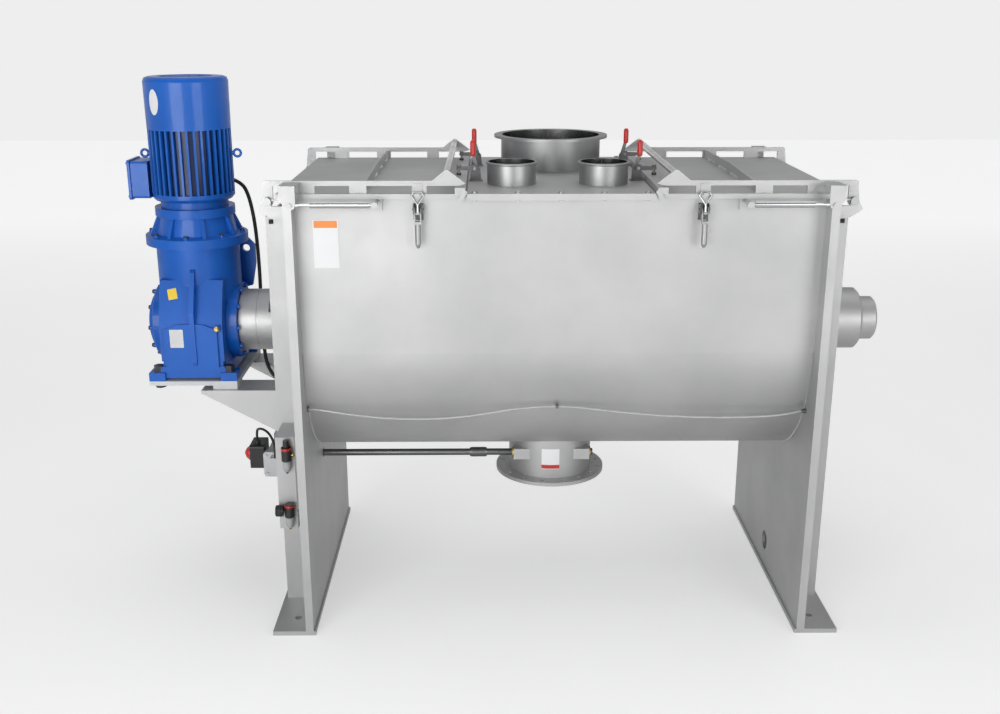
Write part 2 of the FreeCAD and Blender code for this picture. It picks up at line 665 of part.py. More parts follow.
def lid_rail():
    """Front rail: notched plate with a peak at the handle and the hinge arm at its outer end."""
    y0 = -RAIL_FACE
    y1 = y0 + RAIL_T
    outline = [(LID_INNER, RAIL_Z - 8), (PEAK_X - 5, PEAK_Z - 1), (PEAK_X, PEAK_Z),
               (PEAK_X + 5, PEAK_Z - 2),
               (PEAK_X + 40, RAIL_Z), (PIVOT_X + 5, RAIL_Z), (PIVOT_X + 10, RAIL_Z - 4),
               (PIVOT_X + 10, RAIL_Z - 14),
               (PIVOT_X + ARM_R, PIVOT_Z), (PIVOT_X - ARM_R, PIVOT_Z), (PIVOT_X - ARM_R, RAIL_UNDER),
               (LID_INNER + 18, RAIL_UNDER)]
    arm = rod_y(y0, y1, PIVOT_X, PIVOT_Z, ARM_R)
    tabs = [box(x0, x1, y0, y1, LID_TOP, RAIL_UNDER + 1) for x0, x1 in ((377, 418), (545, 593), (690, 738))]
    rail = fused([plate_xz(outline, y0, y1), arm] + tabs)
    return cut(rail, [rod_y(y0 - 1, y1 + 1, PIVOT_X, PIVOT_Z, PIVOT_R)])


def gas_bracket():
    """Folded bracket on the rail that reaches out over the end plate to the gas spring."""
    face = -GAS_Y - GAS_EYE_T / 2 - BRACKET_GAP
    top = RAIL_Z - 4
    shelf = box(GAS_EYE_X - 17, GAS_EYE_X + 28, face - BRACKET_T, -RAIL_FACE, top - BRACKET_T, top)
    front = plate_xz([(GAS_EYE_X - 17, top), (GAS_EYE_X + 28, top), (GAS_EYE_X + 28, PIVOT_Z + 16),
                      (GAS_EYE_X + 9, PIVOT_Z - 12), (GAS_EYE_X - 2, PIVOT_Z - 15),
                      (GAS_EYE_X - 13, PIVOT_Z - 8),
                      (GAS_EYE_X - 17, PIVOT_Z + 6)], face - BRACKET_T, face)
    nut = rod_y(face - BRACKET_T - 5, face - BRACKET_T, GAS_EYE_X, PIVOT_Z, 6)
    return fused([shelf, front, nut])


def latch_keeper():
    """Ledge on the rail with a low lip that the bail of the latch hooks over."""
    ledge = BAIL_TOP_Z - BAIL_WIRE_R - 0.2
    lip_y = BAIL_TOP_Y - BAIL_WIRE_R - 3
    half = KEEPER_W / 2
    plate = box(LATCH_X - half, LATCH_X + half, lip_y - 2.5, -RAIL_FACE, LID_TOP, ledge)
    nose = box(LATCH_X - half, LATCH_X + half, lip_y - 2.5, -LID_HALF_DEPTH - 0.4, ledge - 5, ledge)
    lip = box(LATCH_X - half, LATCH_X + half, lip_y - 2.5, lip_y, ledge - 5, KEEPER_LIP_Z)
    riser = box(LATCH_X - 12, LATCH_X + 12, -RAIL_FACE - 3, -RAIL_FACE, LID_TOP, RAIL_UNDER + 6)
    return fused([plate, nose, lip, riser])


def lid_rails():
    front = fused([lid_rail(), gas_bracket(), latch_keeper()])
    rear = mirrored_y(fused([lid_rail(), gas_bracket()]))
    return [front, rear]


def lid_handle():
    inner = RAIL_FACE - RAIL_T
    return rod_y(-inner, inner, PEAK_X, PEAK_Z - HANDLE_R - 4, HANDLE_R)


def gas_cylinder():
    eye = rod_y(-GAS_Y - 7, -GAS_Y + 7, GAS_STUD_X, PIVOT_Z, GAS_EYE_R)
    tube = rod_x(GAS_STUD_X + 14, GAS_STUD_X + GAS_TUBE_L, -GAS_Y, PIVOT_Z, GAS_TUBE_R)
    neck = rod_x(GAS_STUD_X, GAS_STUD_X + 15, -GAS_Y, PIVOT_Z, GAS_ROD_R + 1.5)
    bore = rod_x(GAS_EYE_X - GAS_EYE_R - GAS_ROD_IN - 40, GAS_EYE_X, -GAS_Y, PIVOT_Z,
                 GAS_ROD_R + RUNNING_GAP)
    hole = rod_y(-GAS_Y - 8, -GAS_Y + 8, GAS_STUD_X, PIVOT_Z, GAS_STUD_R)
    return cut(fused([eye, tube, neck]), [bore, hole])


def gas_rod():
    rod = rod_x(GAS_EYE_X - GAS_EYE_R - GAS_ROD_IN - 30, GAS_EYE_X, -GAS_Y, PIVOT_Z, GAS_ROD_R)
    eye = rod_y(-GAS_Y - GAS_EYE_T / 2, -GAS_Y + GAS_EYE_T / 2, GAS_EYE_X, PIVOT_Z, GAS_EYE_R)
    collar = rod_x(GAS_EYE_X - 22, GAS_EYE_X - 6, -GAS_Y, PIVOT_Z, GAS_ROD_R + 2)
    return fused([rod, eye, collar])


# Toggle clamps, drawn for the right-hand side at y = 0


def clamp_base():
    half = CLAMP_PLATE_T / 2
    foot = box(222, 262, -16, 16, DECK_TOP, DECK_TOP + 4)
    web = plate_xz([(226, DECK_TOP + 4), (260, DECK_TOP + 4), (256, CLAMP_Z + 10), (240, CLAMP_Z + 12),
                    (228, CLAMP_HANDLE_Z + 6)], -half, half)
    arm_pin = rod_y(-CLAMP_LAYER - 4, 0, CLAMP_X, CLAMP_Z, CLAMP_PIN_R)
    handle_pin = rod_y(0, CLAMP_LAYER + 4, CLAMP_HANDLE_X, CLAMP_HANDLE_Z, CLAMP_PIN_R)
    return fused([foot, web, arm_pin, handle_pin])


def clamp_arm():
    y0 = -CLAMP_LAYER - CLAMP_PLATE_T / 2
    y1 = y0 + CLAMP_PLATE_T
    tip = CLAMP_X + CLAMP_REACH
    spindle_x = tip - 8
    outline = [(CLAMP_X - 7, CLAMP_Z - 7), (tip - 2, CLAMP_Z - 4), (tip, CLAMP_Z), (tip - 2, CLAMP_Z + 6),
               (CLAMP_X - 4, CLAMP_Z + 8), (CLAMP_X - 9, CLAMP_Z + 2)]
    bar = plate_xz(outline, y0, y1)
    spindle = rod_z(LID_TOP + CHANNEL_H + 0.3, CLAMP_Z + 12, spindle_x, (y0 + y1) / 2, 3.5)
    pad = rod_z(LID_TOP + CHANNEL_H + 0.3, LID_TOP + CHANNEL_H + 8, spindle_x, (y0 + y1) / 2, 6)
    nut = hexagon_z(CLAMP_Z + 5, CLAMP_Z + 10, spindle_x, (y0 + y1) / 2, 11)
    arm = fused([bar, spindle, pad, nut])
    return cut(arm, [rod_y(y0 - 1, y1 + 1, CLAMP_X, CLAMP_Z, CLAMP_PIN_R + RUNNING_GAP)])


def clamp_handle():
    y0 = CLAMP_LAYER - CLAMP_PLATE_T / 2
    y1 = y0 + CLAMP_PLATE_T
    grip_x = CLAMP_X + 5
    outline = [(CLAMP_HANDLE_X - 7, CLAMP_HANDLE_Z - 6), (CLAMP_HANDLE_X + 7, CLAMP_HANDLE_Z - 6),
               (grip_x + 5, GRIP_Z0 + 10), (grip_x - 5, GRIP_Z0 + 10)]
    lever = plate_xz(outline, y0, y1)
    grip = turned_z([(0, GRIP_Z0), (GRIP_R - 2, GRIP_Z0), (GRIP_R, GRIP_Z0 + 4), (GRIP_R, GRIP_Z1 - 6),
                     (GRIP_R - 3, GRIP_Z1), (0, GRIP_Z1)], grip_x, (y0 + y1) / 2)
    handle = fused([lever, grip])
    return cut(handle, [rod_y(y0 - 1, y1 + 1, CLAMP_HANDLE_X, CLAMP_HANDLE_Z, CLAMP_PIN_R + RUNNING_GAP)])


def moved_y(shape, y):
    placed = shape.copy()
    placed.translate(V(0, y, 0))
    return placed


# Draw latches, drawn for the right-hand side


def latch_base():
    back = box(LATCH_X - 14, LATCH_X + 14, -TROUGH_R - 4, -TROUGH_R, LATCH_PIVOT_Z - 34, LATCH_PIVOT_Z + 14)
    cheeks = [box(LATCH_X + s * 11, LATCH_X + s * 14, LATCH_PIVOT_Y - 8, -TROUGH_R - 4, LATCH_PIVOT_Z - 14,
                  LATCH_PIVOT_Z + 12) for s in (-1, 1)]
    pin = rod_x(LATCH_X - 16, LATCH_X + 16, LATCH_PIVOT_Y, LATCH_PIVOT_Z, 3)
    return fused([back, pin] + cheeks)


def latch_lever():
    y0 = BAIL_PIVOT_Y
    side = plate_yz([(LATCH_PIVOT_Y + 5, LATCH_PIVOT_Z + 6), (LATCH_PIVOT_Y + 5, LATCH_PIVOT_Z - 8),
                     (y0 + 6, LATCH_PIVOT_Z - 40), (y0 - 6, LATCH_PIVOT_Z - 40), (y0 - 6, BAIL_PIVOT_Z),
                     (LATCH_PIVOT_Y - 6, LATCH_PIVOT_Z + 6)], LATCH_X - 10, LATCH_X + 10)
    gap = box(LATCH_X - 7, LATCH_X + 7, y0 - 10, LATCH_PIVOT_Y + 10, LATCH_PIVOT_Z - 32, LATCH_PIVOT_Z + 10)
    grip = turned_z([(0, LATCH_TIP_Z), (4, LATCH_TIP_Z + 2), (8, LATCH_TIP_Z + 12), (8, LATCH_PIVOT_Z - 40),
                     (0, LATCH_PIVOT_Z - 40)], LATCH_X, y0)
    pin_hole = rod_x(LATCH_X - 11, LATCH_X + 11, LATCH_PIVOT_Y, LATCH_PIVOT_Z, 3 + RUNNING_GAP)
    lever = cut(fused([cut(side, [gap]), grip]), [pin_hole])
    bail_pin = rod_x(LATCH_X - 9, LATCH_X + 9, BAIL_PIVOT_Y, BAIL_PIVOT_Z, 2.5)
    return fused([lever, bail_pin])


def wire(points, radius):
    """Bent wire: a round bar along each run with a ball at each corner."""
    pieces = []
    for a, b in zip(points, points[1:]):
        pieces.append(Part.makeCylinder(radius, (b - a).Length, a, b - a))
    pieces += [Part.makeSphere(radius, p) for p in points]
    return fused(pieces)


def latch_bail():
    waist = V(LATCH_X, BAIL_PIVOT_Y + 4, BAIL_PIVOT_Z + 24)
    loop = wire([waist, V(LATCH_X - 17, BAIL_TOP_Y - 1, BAIL_TOP_Z - 8),
                 V(LATCH_X - 12, BAIL_TOP_Y, BAIL_TOP_Z),
                 V(LATCH_X + 12, BAIL_TOP_Y, BAIL_TOP_Z), V(LATCH_X + 17, BAIL_TOP_Y - 1, BAIL_TOP_Z - 8),
                 waist],
                BAIL_WIRE_R)
    stem = Part.makeCylinder(3.2, (waist - V(LATCH_X, BAIL_PIVOT_Y, BAIL_PIVOT_Z)).Length,
                             V(LATCH_X, BAIL_PIVOT_Y, BAIL_PIVOT_Z),
                             waist - V(LATCH_X, BAIL_PIVOT_Y, BAIL_PIVOT_Z))
    eye = rod_x(LATCH_X - 5, LATCH_X + 5, BAIL_PIVOT_Y, BAIL_PIVOT_Z, 5)
    hole = rod_x(LATCH_X - 6, LATCH_X + 6, BAIL_PIVOT_Y, BAIL_PIVOT_Z, 2.5 + RUNNING_GAP)
    return cut(fused([loop, stem, eye]), [hole])


# Drive


def drive_bracket():
    """Two shelves with gussets on the left column, front and rear."""
    left = SHELF_LEFT
    right = -COLUMN_OUT
    shelf = box(left, right, -SHELF_Y1, -SHELF_Y0, SHELF_Z - SHELF_T, SHELF_Z)
    under = SHELF_Z - SHELF_T
    gusset = plate_xz([(left + 6, under), (right, under), (right, under - GUSSET_DROP)], -SHELF_Y1,
                      -SHELF_Y1 + 8)
    bracket = cut(fused([shelf, gusset]), foot_bolt_holes(under - 1, SHELF_Z + 1))
    return both_ends(bracket)


def motor_base_plate():
    x0 = DRIVE_X - BASE_HALF_X
    x1 = DRIVE_X + BASE_HALF_X
    plate = box(x0, x1, -BASE_HALF_Y, BASE_HALF_Y, BASE_Z, GEAR_Z)
    spacer = box(x1 - 76, x1, -SHELF_Y1 + 15, -SHELF_Y0 - 20, SHELF_Z, BASE_Z)
    holes = foot_bolt_holes(SHELF_Z - 1, GEAR_Z + 1)
    return cut(fused([plate] + both_ends(spacer)), holes)


def foot_bolt_places():
    return [(sx * (BASE_HALF_X - 27), sy * (BASE_HALF_Y - 27)) for sx in (-1, 1) for sy in (-1, 1)]


def foot_bolt_holes(z0, z1):
    return [rod_z(z0, z1, DRIVE_X + x, y, GEAR_BOLT_R + 0.5) for x, y in foot_bolt_places()]


def gearbox_bolts():
    bolts = []
    for x, y in foot_bolt_places():
        seat = SHELF_Z - SHELF_T if x > 0 else BASE_Z
        head = hexagon_z(GEAR_Z + 27, GEAR_Z + 46, DRIVE_X + x, y, GEAR_BOLT_ACROSS)
        shank = rod_z(seat - 14, GEAR_Z + 27, DRIVE_X + x, y, GEAR_BOLT_R)
        nut = hexagon_z(seat - 11, seat, DRIVE_X + x, y, GEAR_BOLT_ACROSS)
        bolts.append(fused([head, shank, nut]))
    return bolts


def gearbox_housing():
    """Cast housing: block with sloping shoulders, feet, drum, front ridge, lifting lug and output flange."""
    low = GEAR_Z + 16
    half_y = GEAR_HALF_Y
    shoulder = AXIS_Z + 62
    neck = AXIS_Z + 157
    block = plate_yz([(-half_y, low), (-half_y, shoulder - 30), (-half_y + 12, shoulder),
                      (-DRUM_R + 8, neck),
                      (DRUM_R - 8, neck), (half_y - 12, shoulder), (half_y, shoulder - 30), (half_y, low)],
                     DRIVE_X - GEAR_HALF_X, DRIVE_X + GEAR_HALF_X)
    skirt = plate_xz([(DRIVE_X - GEAR_HALF_X - 14, GEAR_Z + 8), (DRIVE_X - GEAR_HALF_X, GEAR_Z + 45),
                      (DRIVE_X + GEAR_HALF_X, GEAR_Z + 45), (DRIVE_X + GEAR_HALF_X + 14, GEAR_Z + 8)],
                     -half_y - 8, half_y + 8)
    feet = [box(DRIVE_X + s * (BASE_HALF_X - 50), DRIVE_X + s * BASE_HALF_X, t * (BASE_HALF_Y - 56),
                t * BASE_HALF_Y, GEAR_Z, GEAR_Z + 27) for s in (-1, 1) for t in (-1, 1)]
    drum = rod_z(shoulder - 15, DRUM_TOP, DRIVE_X, 0, DRUM_R)
    ridge = plate_yz([(-half_y + 5, GEAR_Z + 20), (-BASE_HALF_Y + 2, GEAR_Z + 60),
                      (-BASE_HALF_Y + 2, shoulder + 5),
                      (-DRUM_R - 10, neck + 28), (-DRUM_R + 10, neck + 46), (-DRUM_R + 20, shoulder - 15)],
                      DRIVE_X + 2, DRIVE_X + 16)
    pad = plate_xz([(DRIVE_X - 82, low + 20), (DRIVE_X - 82, AXIS_Z + 12), (DRIVE_X - 40, AXIS_Z + 28),
                    (DRIVE_X, AXIS_Z + 31), (DRIVE_X + 40, AXIS_Z + 28), (DRIVE_X + 82, AXIS_Z + 12),
                    (DRIVE_X + 82, low + 20)], -half_y - 10, -half_y)
    lug = plate_xz([(DRIVE_X + 60, shoulder + 10), (DRIVE_X + 146, shoulder + 30),
                    (DRIVE_X + 160, DRUM_TOP - 92),
                    (DRIVE_X + 160, DRUM_TOP - 32), (DRIVE_X + 140, DRUM_TOP - 10),
                    (DRIVE_X + 60, DRUM_TOP - 10)],
                   DRUM_R - 37, DRUM_R - 21)
    barrel = rod_x(DRIVE_X, HOUSING_LEFT - 30, 0, AXIS_Z, 108)
    flange = rod_x(HOUSING_LEFT - 34, HOUSING_LEFT - 2, 0, AXIS_Z, 122)
    collar = rod_x(HOUSING_LEFT - 2, HOUSING_LEFT, 0, AXIS_Z, HOUSING_R - 5)
    screws = ring_of_screws(HOUSING_LEFT - 2, HOUSING_LEFT + 6, 110, 7.5, 10)
    plug = rod_y(-half_y - 12, -half_y + 4, DRIVE_X + 84, AXIS_Z + 17, 10)
    housing = fused([block, skirt, drum, ridge, pad, lug, barrel, flange, collar, plug] + feet + screws)
    hole = rod_y(DRUM_R - 38, DRUM_R - 20, DRIVE_X + 132, DRUM_TOP - 42, 12)
    eye = rod_x(DRIVE_X, DRIVE_X + 20, -DRUM_R - 12, neck - 30, 8)
    bore = rod_x(SHAFT_LEFT - 0.5, HOUSING_LEFT + 1, 0, AXIS_Z, JOURNAL_R + RUNNING_GAP)
    bolt_holes = foot_bolt_holes(GEAR_Z - 1, GEAR_Z + 28)
    cover_room = rod_x(DRIVE_X - 2 * GEAR_HALF_X, DRIVE_X - GEAR_HALF_X, 0, AXIS_Z, COVER_R + 1)
    bolt_room = [rod_z(GEAR_Z + 27, GEAR_Z + 60, DRIVE_X + x, y, 19) for x, y in foot_bolt_places()]
    return cut(housing, [hole, eye, bore, cover_room] + bolt_holes + bolt_room)


def ring_of_screws(x0, x1, pitch_r, r, count):
    return [rod_x(x0, x1, pitch_r * math.cos(2 * math.pi * i / count),
                  AXIS_Z + pitch_r * math.sin(2 * math.pi * i / count), r) for i in range(count)]


def gearbox_side_cover():
    face = DRIVE_X - GEAR_HALF_X
    disc = turned_x([(face, 0), (face, COVER_R), (face - 34, COVER_R), (face - 38, COVER_R - 4),
                     (face - 38, 92), (face - 54, 84),
                     (face - 60, 70), (face - 60, 0)], 0, AXIS_Z)
    return fused([disc] + ring_of_screws(face - 46, face - 36, 106, 8, 10))


def motor_adapter():
    """Flanged lantern between gearbox and motor, with cast ribs."""
    neck_r = STATOR_CORE_R - 8
    body = turned_z([(0, DRUM_TOP), (BIG_FLANGE_R, DRUM_TOP), (BIG_FLANGE_R, BIG_FLANGE_TOP),
                     (ADAPTER_R + 14, BIG_FLANGE_TOP + 6), (ADAPTER_R, SMALL_FLANGE_Z),
                     (SMALL_FLANGE_R, SMALL_FLANGE_Z),
                     (SMALL_FLANGE_R, SMALL_FLANGE_TOP), (neck_r, SMALL_FLANGE_TOP), (neck_r, STATOR_Z),
                     (0, STATOR_Z)],
                    DRIVE_X, 0)
    ribs = []
    for i in range(8):
        rib = plate_xz([(ADAPTER_R - 6, BIG_FLANGE_TOP), (BIG_FLANGE_R - 12, BIG_FLANGE_TOP),
                        (SMALL_FLANGE_R - 4, SMALL_FLANGE_Z), (ADAPTER_R - 6, SMALL_FLANGE_Z)], -5, 5)
        rib.rotate(V(0, 0, 0), V(0, 0, 1), 22.5 + 45 * i)
        rib.translate(V(DRIVE_X, 0, 0))
        ribs.append(rib)
    screws = [rod_z(BIG_FLANGE_TOP, BIG_FLANGE_TOP + 8,
                    DRIVE_X + (BIG_FLANGE_R - 14) * math.cos(math.radians(45 * i)),
                    (BIG_FLANGE_R - 14) * math.sin(math.radians(45 * i)), 8) for i in range(8)]
    return fused([body] + ribs + screws)


def motor_stator():
    """Finned motor frame: straight cooling fins round the core, lifting eyes on two sides."""
    outline = []
    for i in range(FIN_COUNT):
        middle = 2 * math.pi * i / FIN_COUNT
        half = math.pi / FIN_COUNT
        for offset, r in ((-0.28, FIN_R), (0.28, FIN_R), (0.46, STATOR_CORE_R), (1.54, STATOR_CORE_R)):
            angle = middle + offset * half
            outline.append((DRIVE_X + r * math.cos(angle), r * math.sin(angle)))
    fins = plate_xy(outline, STATOR_Z + 22, STATOR_TOP)
    shield = turned_z([(0, STATOR_Z), (STATOR_CORE_R + 6, STATOR_Z), (FIN_R, STATOR_Z + 10),
                       (FIN_R, STATOR_Z + 22),
                       (0, STATOR_Z + 22)], DRIVE_X, 0)
    eyes = []
    eye_z = STATOR_Z + 140
    for side in (-1, 1):
        ring = Part.makeTorus(11, 4, V(DRIVE_X + side * (FIN_R + 18), 0, eye_z), V(0, 1, 0))
        stem = rod_x(DRIVE_X + side * (STATOR_CORE_R - 5), DRIVE_X + side * (FIN_R + 8), 0, eye_z, 6)
        eyes += [ring, stem]
    gland = gland_on_motor()
    return fused([fins, shield, gland] + eyes)


def gland_on_motor():
    direction = V(98, 95, 0)
    direction.normalize()
    start = V(DRIVE_X, 0, STATOR_Z + 45) + direction * (STATOR_CORE_R - 4)
    return Part.makeCylinder(11, 28, start, direction)


def motor_fan_cowl():
    """Thin drawn cowl over the fan, with a stepped ring and a fine grille recess on top."""
    wall = 2.0
    outer = [(COWL_R - 1.5, STATOR_TOP), (COWL_R, COWL_TOP - 14), (COWL_R - 4, COWL_TOP - 4),
             (COWL_R - 14, COWL_TOP), (84, COWL_TOP), (80, COWL_TOP - 4), (0, COWL_TOP - 4)]
    inner = [(0, COWL_TOP - 4 - wall), (80 - wall, COWL_TOP - 4 - wall), (84 - wall, COWL_TOP - wall),
             (COWL_R - 15, COWL_TOP - wall), (COWL_R - 4 - wall, COWL_TOP - 6),
             (COWL_R - wall, COWL_TOP - 15),
             (COWL_R - 1.5 - wall, STATOR_TOP)]
    cowl = turned_z(outer + inner, DRIVE_X, 0)
    slots = []
    for ring, count in ((28, 10), (48, 16), (68, 22)):
        for i in range(count):
            a = 2 * math.pi * i / count
            slots.append(rod_z(COWL_TOP - 8, COWL_TOP, DRIVE_X + ring * math.cos(a), ring * math.sin(a),
                               4.5))
    return cut(cowl, slots)


def motor_terminal_box():
    x1 = DRIVE_X - FIN_R + 2
    low = STATOR_Z + 2
    high = low + 122
    case = box(x1 - 52, x1, -58, 58, low + 4, high - 4)
    case = case.makeFillet(8, [e for e in case.Edges if abs(e.tangentAt(e.FirstParameter).x) > 0.9])
    lid = box(x1 - 62, x1 - 54, -62, 62, low, high)
    lid = lid.makeFillet(8, [e for e in lid.Edges if abs(e.tangentAt(e.FirstParameter).x) > 0.9])
    waist = box(x1 - 54, x1 - 52, -55, 55, low + 8, high - 8)
    screws = [rod_x(x1 - 66, x1 - 62, y, z, 4) for y in (-52, 52) for z in (low + 10, high - 10)]
    core = rod_z(low - 10, high + 10, DRIVE_X, 0, FIN_R + 0.3)
    return cut(fused([case, lid, waist] + screws), [core])


def left_shaft_housing():
    """Round housing between gearbox and column, with the inspection window and a bolted step."""
    out = -COLUMN_OUT
    body = turned_x([(HOUSING_LEFT, JOURNAL_R + 20), (HOUSING_LEFT, HOUSING_R),
                     (HOUSING_LEFT + 55, HOUSING_R),
                     (HOUSING_LEFT + 56, HOUSING_R - 1.5), (HOUSING_LEFT + 62, HOUSING_R - 1.5),
                     (HOUSING_LEFT + 63, HOUSING_R), (out, HOUSING_R), (out, JOURNAL_R + 20)], 0, AXIS_Z)
    bearing = turned_x([(HOUSING_LEFT + 70, JOURNAL_R + RUNNING_GAP), (HOUSING_LEFT + 70, JOURNAL_R + 25),
                        (HOUSING_LEFT + 110, JOURNAL_R + 25),
                        (HOUSING_LEFT + 110, JOURNAL_R + RUNNING_GAP)], 0, AXIS_Z)
    window = box(HOUSING_LEFT + 95, out - 8, -HOUSING_R - 5, -JOURNAL_R - 22, AXIS_Z + 45, AXIS_Z + 90)
    screw_room = ring_of_screws(HOUSING_LEFT - 1, HOUSING_LEFT + 8, 110, 12, 10)
    return cut(fused([body, bearing]), [window] + screw_room)


def right_bearing_housing():
    return turned_x([(COLUMN_OUT, JOURNAL_R + RUNNING_GAP), (COLUMN_OUT, HOUSING_R + 10),
                     (COLUMN_OUT + 14, HOUSING_R + 10), (COLUMN_OUT + 14, HOUSING_R),
                     (BEARING_OUT - 8, HOUSING_R),
                     (BEARING_OUT, HOUSING_R - 8), (BEARING_OUT, JOURNAL_R + RUNNING_GAP)], 0, AXIS_Z)


def bearing_end_cap():
    room = JOURNAL_R + 4
    return turned_x([(BEARING_OUT, room), (BEARING_OUT, CAP_R), (CAP_OUT - 6, CAP_R), (CAP_OUT, CAP_R - 6),
                     (CAP_OUT, 0), (CAP_OUT - 8, 0), (CAP_OUT - 8, room)], 0, AXIS_Z)


# Air supply


def air_panel():
    """Bent bracket on the column: top, front and bottom, open at the sides."""
    back = -COLUMN_HALF_DEPTH
    top = box(PANEL_X0, PANEL_X1, PANEL_FRONT, back, PANEL_TOP - PANEL_T, PANEL_TOP)
    front = box(PANEL_X0, PANEL_X1, PANEL_FRONT, PANEL_FRONT + PANEL_T, PANEL_BOTTOM, PANEL_TOP)
    bottom = box(PANEL_X0, PANEL_X1, PANEL_FRONT, back, PANEL_BOTTOM, PANEL_BOTTOM + PANEL_T)
    return fused([top, front, bottom])


def regulator(z, with_knob):
    """Filter regulator: ring, body and bowl, standing on the panel on a short clamp."""
    x = REGULATOR_X
    y = REGULATOR_Y
    shape = [(0, z + 27), (14, z + 27), (14, z + 18), (15, z + 16), (15, z - 14), (12, z - 18),
             (12, z - 40),
             (8, z - 50), (4, z - 52), (4, z - 56), (0, z - 56)]
    if with_knob:
        shape = [(0, z + 50), (8, z + 50), (9, z + 47), (9, z + 27)] + shape[1:]
    body = turned_z(shape, x, y)
    clamp = box(x - 8, x + 8, y, PANEL_FRONT, z - 10, z + 10)
    return fused([body, clamp])


def filter_regulators():
    upper = regulator(UPPER_REGULATOR_Z, True)
    gauge = rod_x(REGULATOR_X - 41, REGULATOR_X - 19, REGULATOR_Y, LOWER_REGULATOR_Z + 4, 17)
    link = rod_x(REGULATOR_X - 21, REGULATOR_X, REGULATOR_Y, LOWER_REGULATOR_Z + 4, 4)
    lower = fused([regulator(LOWER_REGULATOR_Z, False), gauge, link])
    return [upper, lower]


# Cords and their fittings


def rounded_route(points):
    """Wire of straight runs joined by tangent arcs, as large as the two runs allow."""
    edges = []
    radii = []
    start = points[0]
    for i in range(1, len(points) - 1):
        before = points[i] - points[i - 1]
        after = points[i + 1] - points[i]
        shorter = min(before.Length, after.Length)
        turn = before.getAngle(after)
        radius = 0.45 * shorter / math.tan(turn / 2)
        radii.append(radius)
        reach = 0.45 * shorter
        first = points[i] - before * (reach / before.Length)
        last = points[i] + after * (reach / after.Length)
        bisector = last - points[i] + first - points[i]
        bisector.normalize()
        middle = points[i] + bisector * (radius / math.cos(turn / 2) - radius)
        edges.append(Part.LineSegment(start, first).toShape())
        edges.append(Part.Arc(first, middle, last).toShape())
        start = last
    edges.append(Part.LineSegment(start, points[-1]).toShape())
    return Part.Wire(edges), radii


def cord(name, route, diameter):
    points = [V(*p) for p in route]
    path, radii = rounded_route(points)
    circle = Part.makeCircle(diameter / 2, points[0], points[1] - points[0])
    tube = path.makePipeShell([Part.Wire(circle)], True, False)
    expected = math.pi * diameter ** 2 / 4 * path.Length
    print(name, "length", round(path.Length, 1), "volume ratio", round(tube.Volume / expected, 4),
          "smallest radius", round(min(radii), 1), "in diameters", round(min(radii) / diameter, 1))
    return tube


MOTOR_CABLE_ROUTE = [(-1032.6, 97.2, 1334.2), (-1008.0, 121.0, 1320.0), (-991.0, 134.0, 1280.0),
                     (-978.0, 138.0, 1200.0), (-972.0, 135.0, 1110.0), (-969.0, 128.0, 1010.0),
                     (-970.0, 122.0, 910.0), (-968.0, 116.0, 820.0), (-962.0, 94.0, 740.0),
                     (-945.0, 72.0, 692.0), (-908.0, 60.0, 656.0), (-865.5, 60.0, 652.5)]

AIR_TUBE_ROUTE = [(-749.5, -372.0, 712.0), (-722.0, -372.4, 710.5), (-680.0, -373.0, 704.0),
                  (-630.0, -373.0, 695.5),
                  (-570.0, -372.5, 687.0), (-500.0, -372.0, 680.5), (-420.0, -371.0, 678.0),
                  (-340.0, -371.0, 680.0),
                  (-265.0, -371.5, 687.0), (-190.0, -372.0, 700.0), (-120.0, -372.5, 711.0),
                  (-60.0, -373.0, 717.0),
                  (0.0, -373.4, 718.5), (60.0, -373.0, 715.5), (130.0, -372.5, 706.5),
                  (205.0, -372.0, 697.0),
                  (285.0, -371.5, 689.5), (365.0, -371.0, 684.0), (445.0, -371.0, 681.0),
                  (525.0, -371.5, 680.5),
                  (600.0, -372.0, 682.5), (660.0, -372.5, 686.5), (705.0, -372.4, 693.0),
                  (741.0, -372.0, 701.0)]

SWITCH_CABLE_ROUTE = [(-962.0, -112.0, 516.2), (-962.0, -112.0, 546.0), (-950.0, -134.0, 562.0),
                      (-928.0, -158.0, 568.0), (-904.0, -184.0, 560.0), (-888.0, -206.0, 536.0),
                      (-886.0, -213.0, 514.0), (-886.0, -213.0, 496.2)]


def tube_fittings():
    """Clip on the trough, push-in fitting on the right end plate and grommet on the left one."""
    clip_z = 718.5
    wall = -math.sqrt(TROUGH_R ** 2 - (AXIS_Z - clip_z) ** 2)
    stem = rod_y(-373.4, wall + 1, 0, clip_z, 3)
    ring = rod_x(-4, 4, -373.4, clip_z, AIR_TUBE_D / 2 + 3.5)
    clip = cut(fused([stem, ring]), [rod_x(-5, 5, -373.4, clip_z, AIR_TUBE_D / 2 + 1.2),
                                     rod_x(-5, 5, 0, AXIS_Z, TROUGH_R)])
    fitting = fused([rod_x(742, WEB_INNER, -372, 701, 7), rod_x(736, 742, -372, 701, 5.5)])
    fitting = cut(fitting, [rod_x(735, 742, -372, 700.4, AIR_TUBE_D / 2 + 1.2)])
    grommet = cut(rod_x(-750, -744, -372, 712, 8), [rod_x(-751, -743, -372, 712, AIR_TUBE_D / 2 + 0.6)])
    return [clip, fitting, grommet]


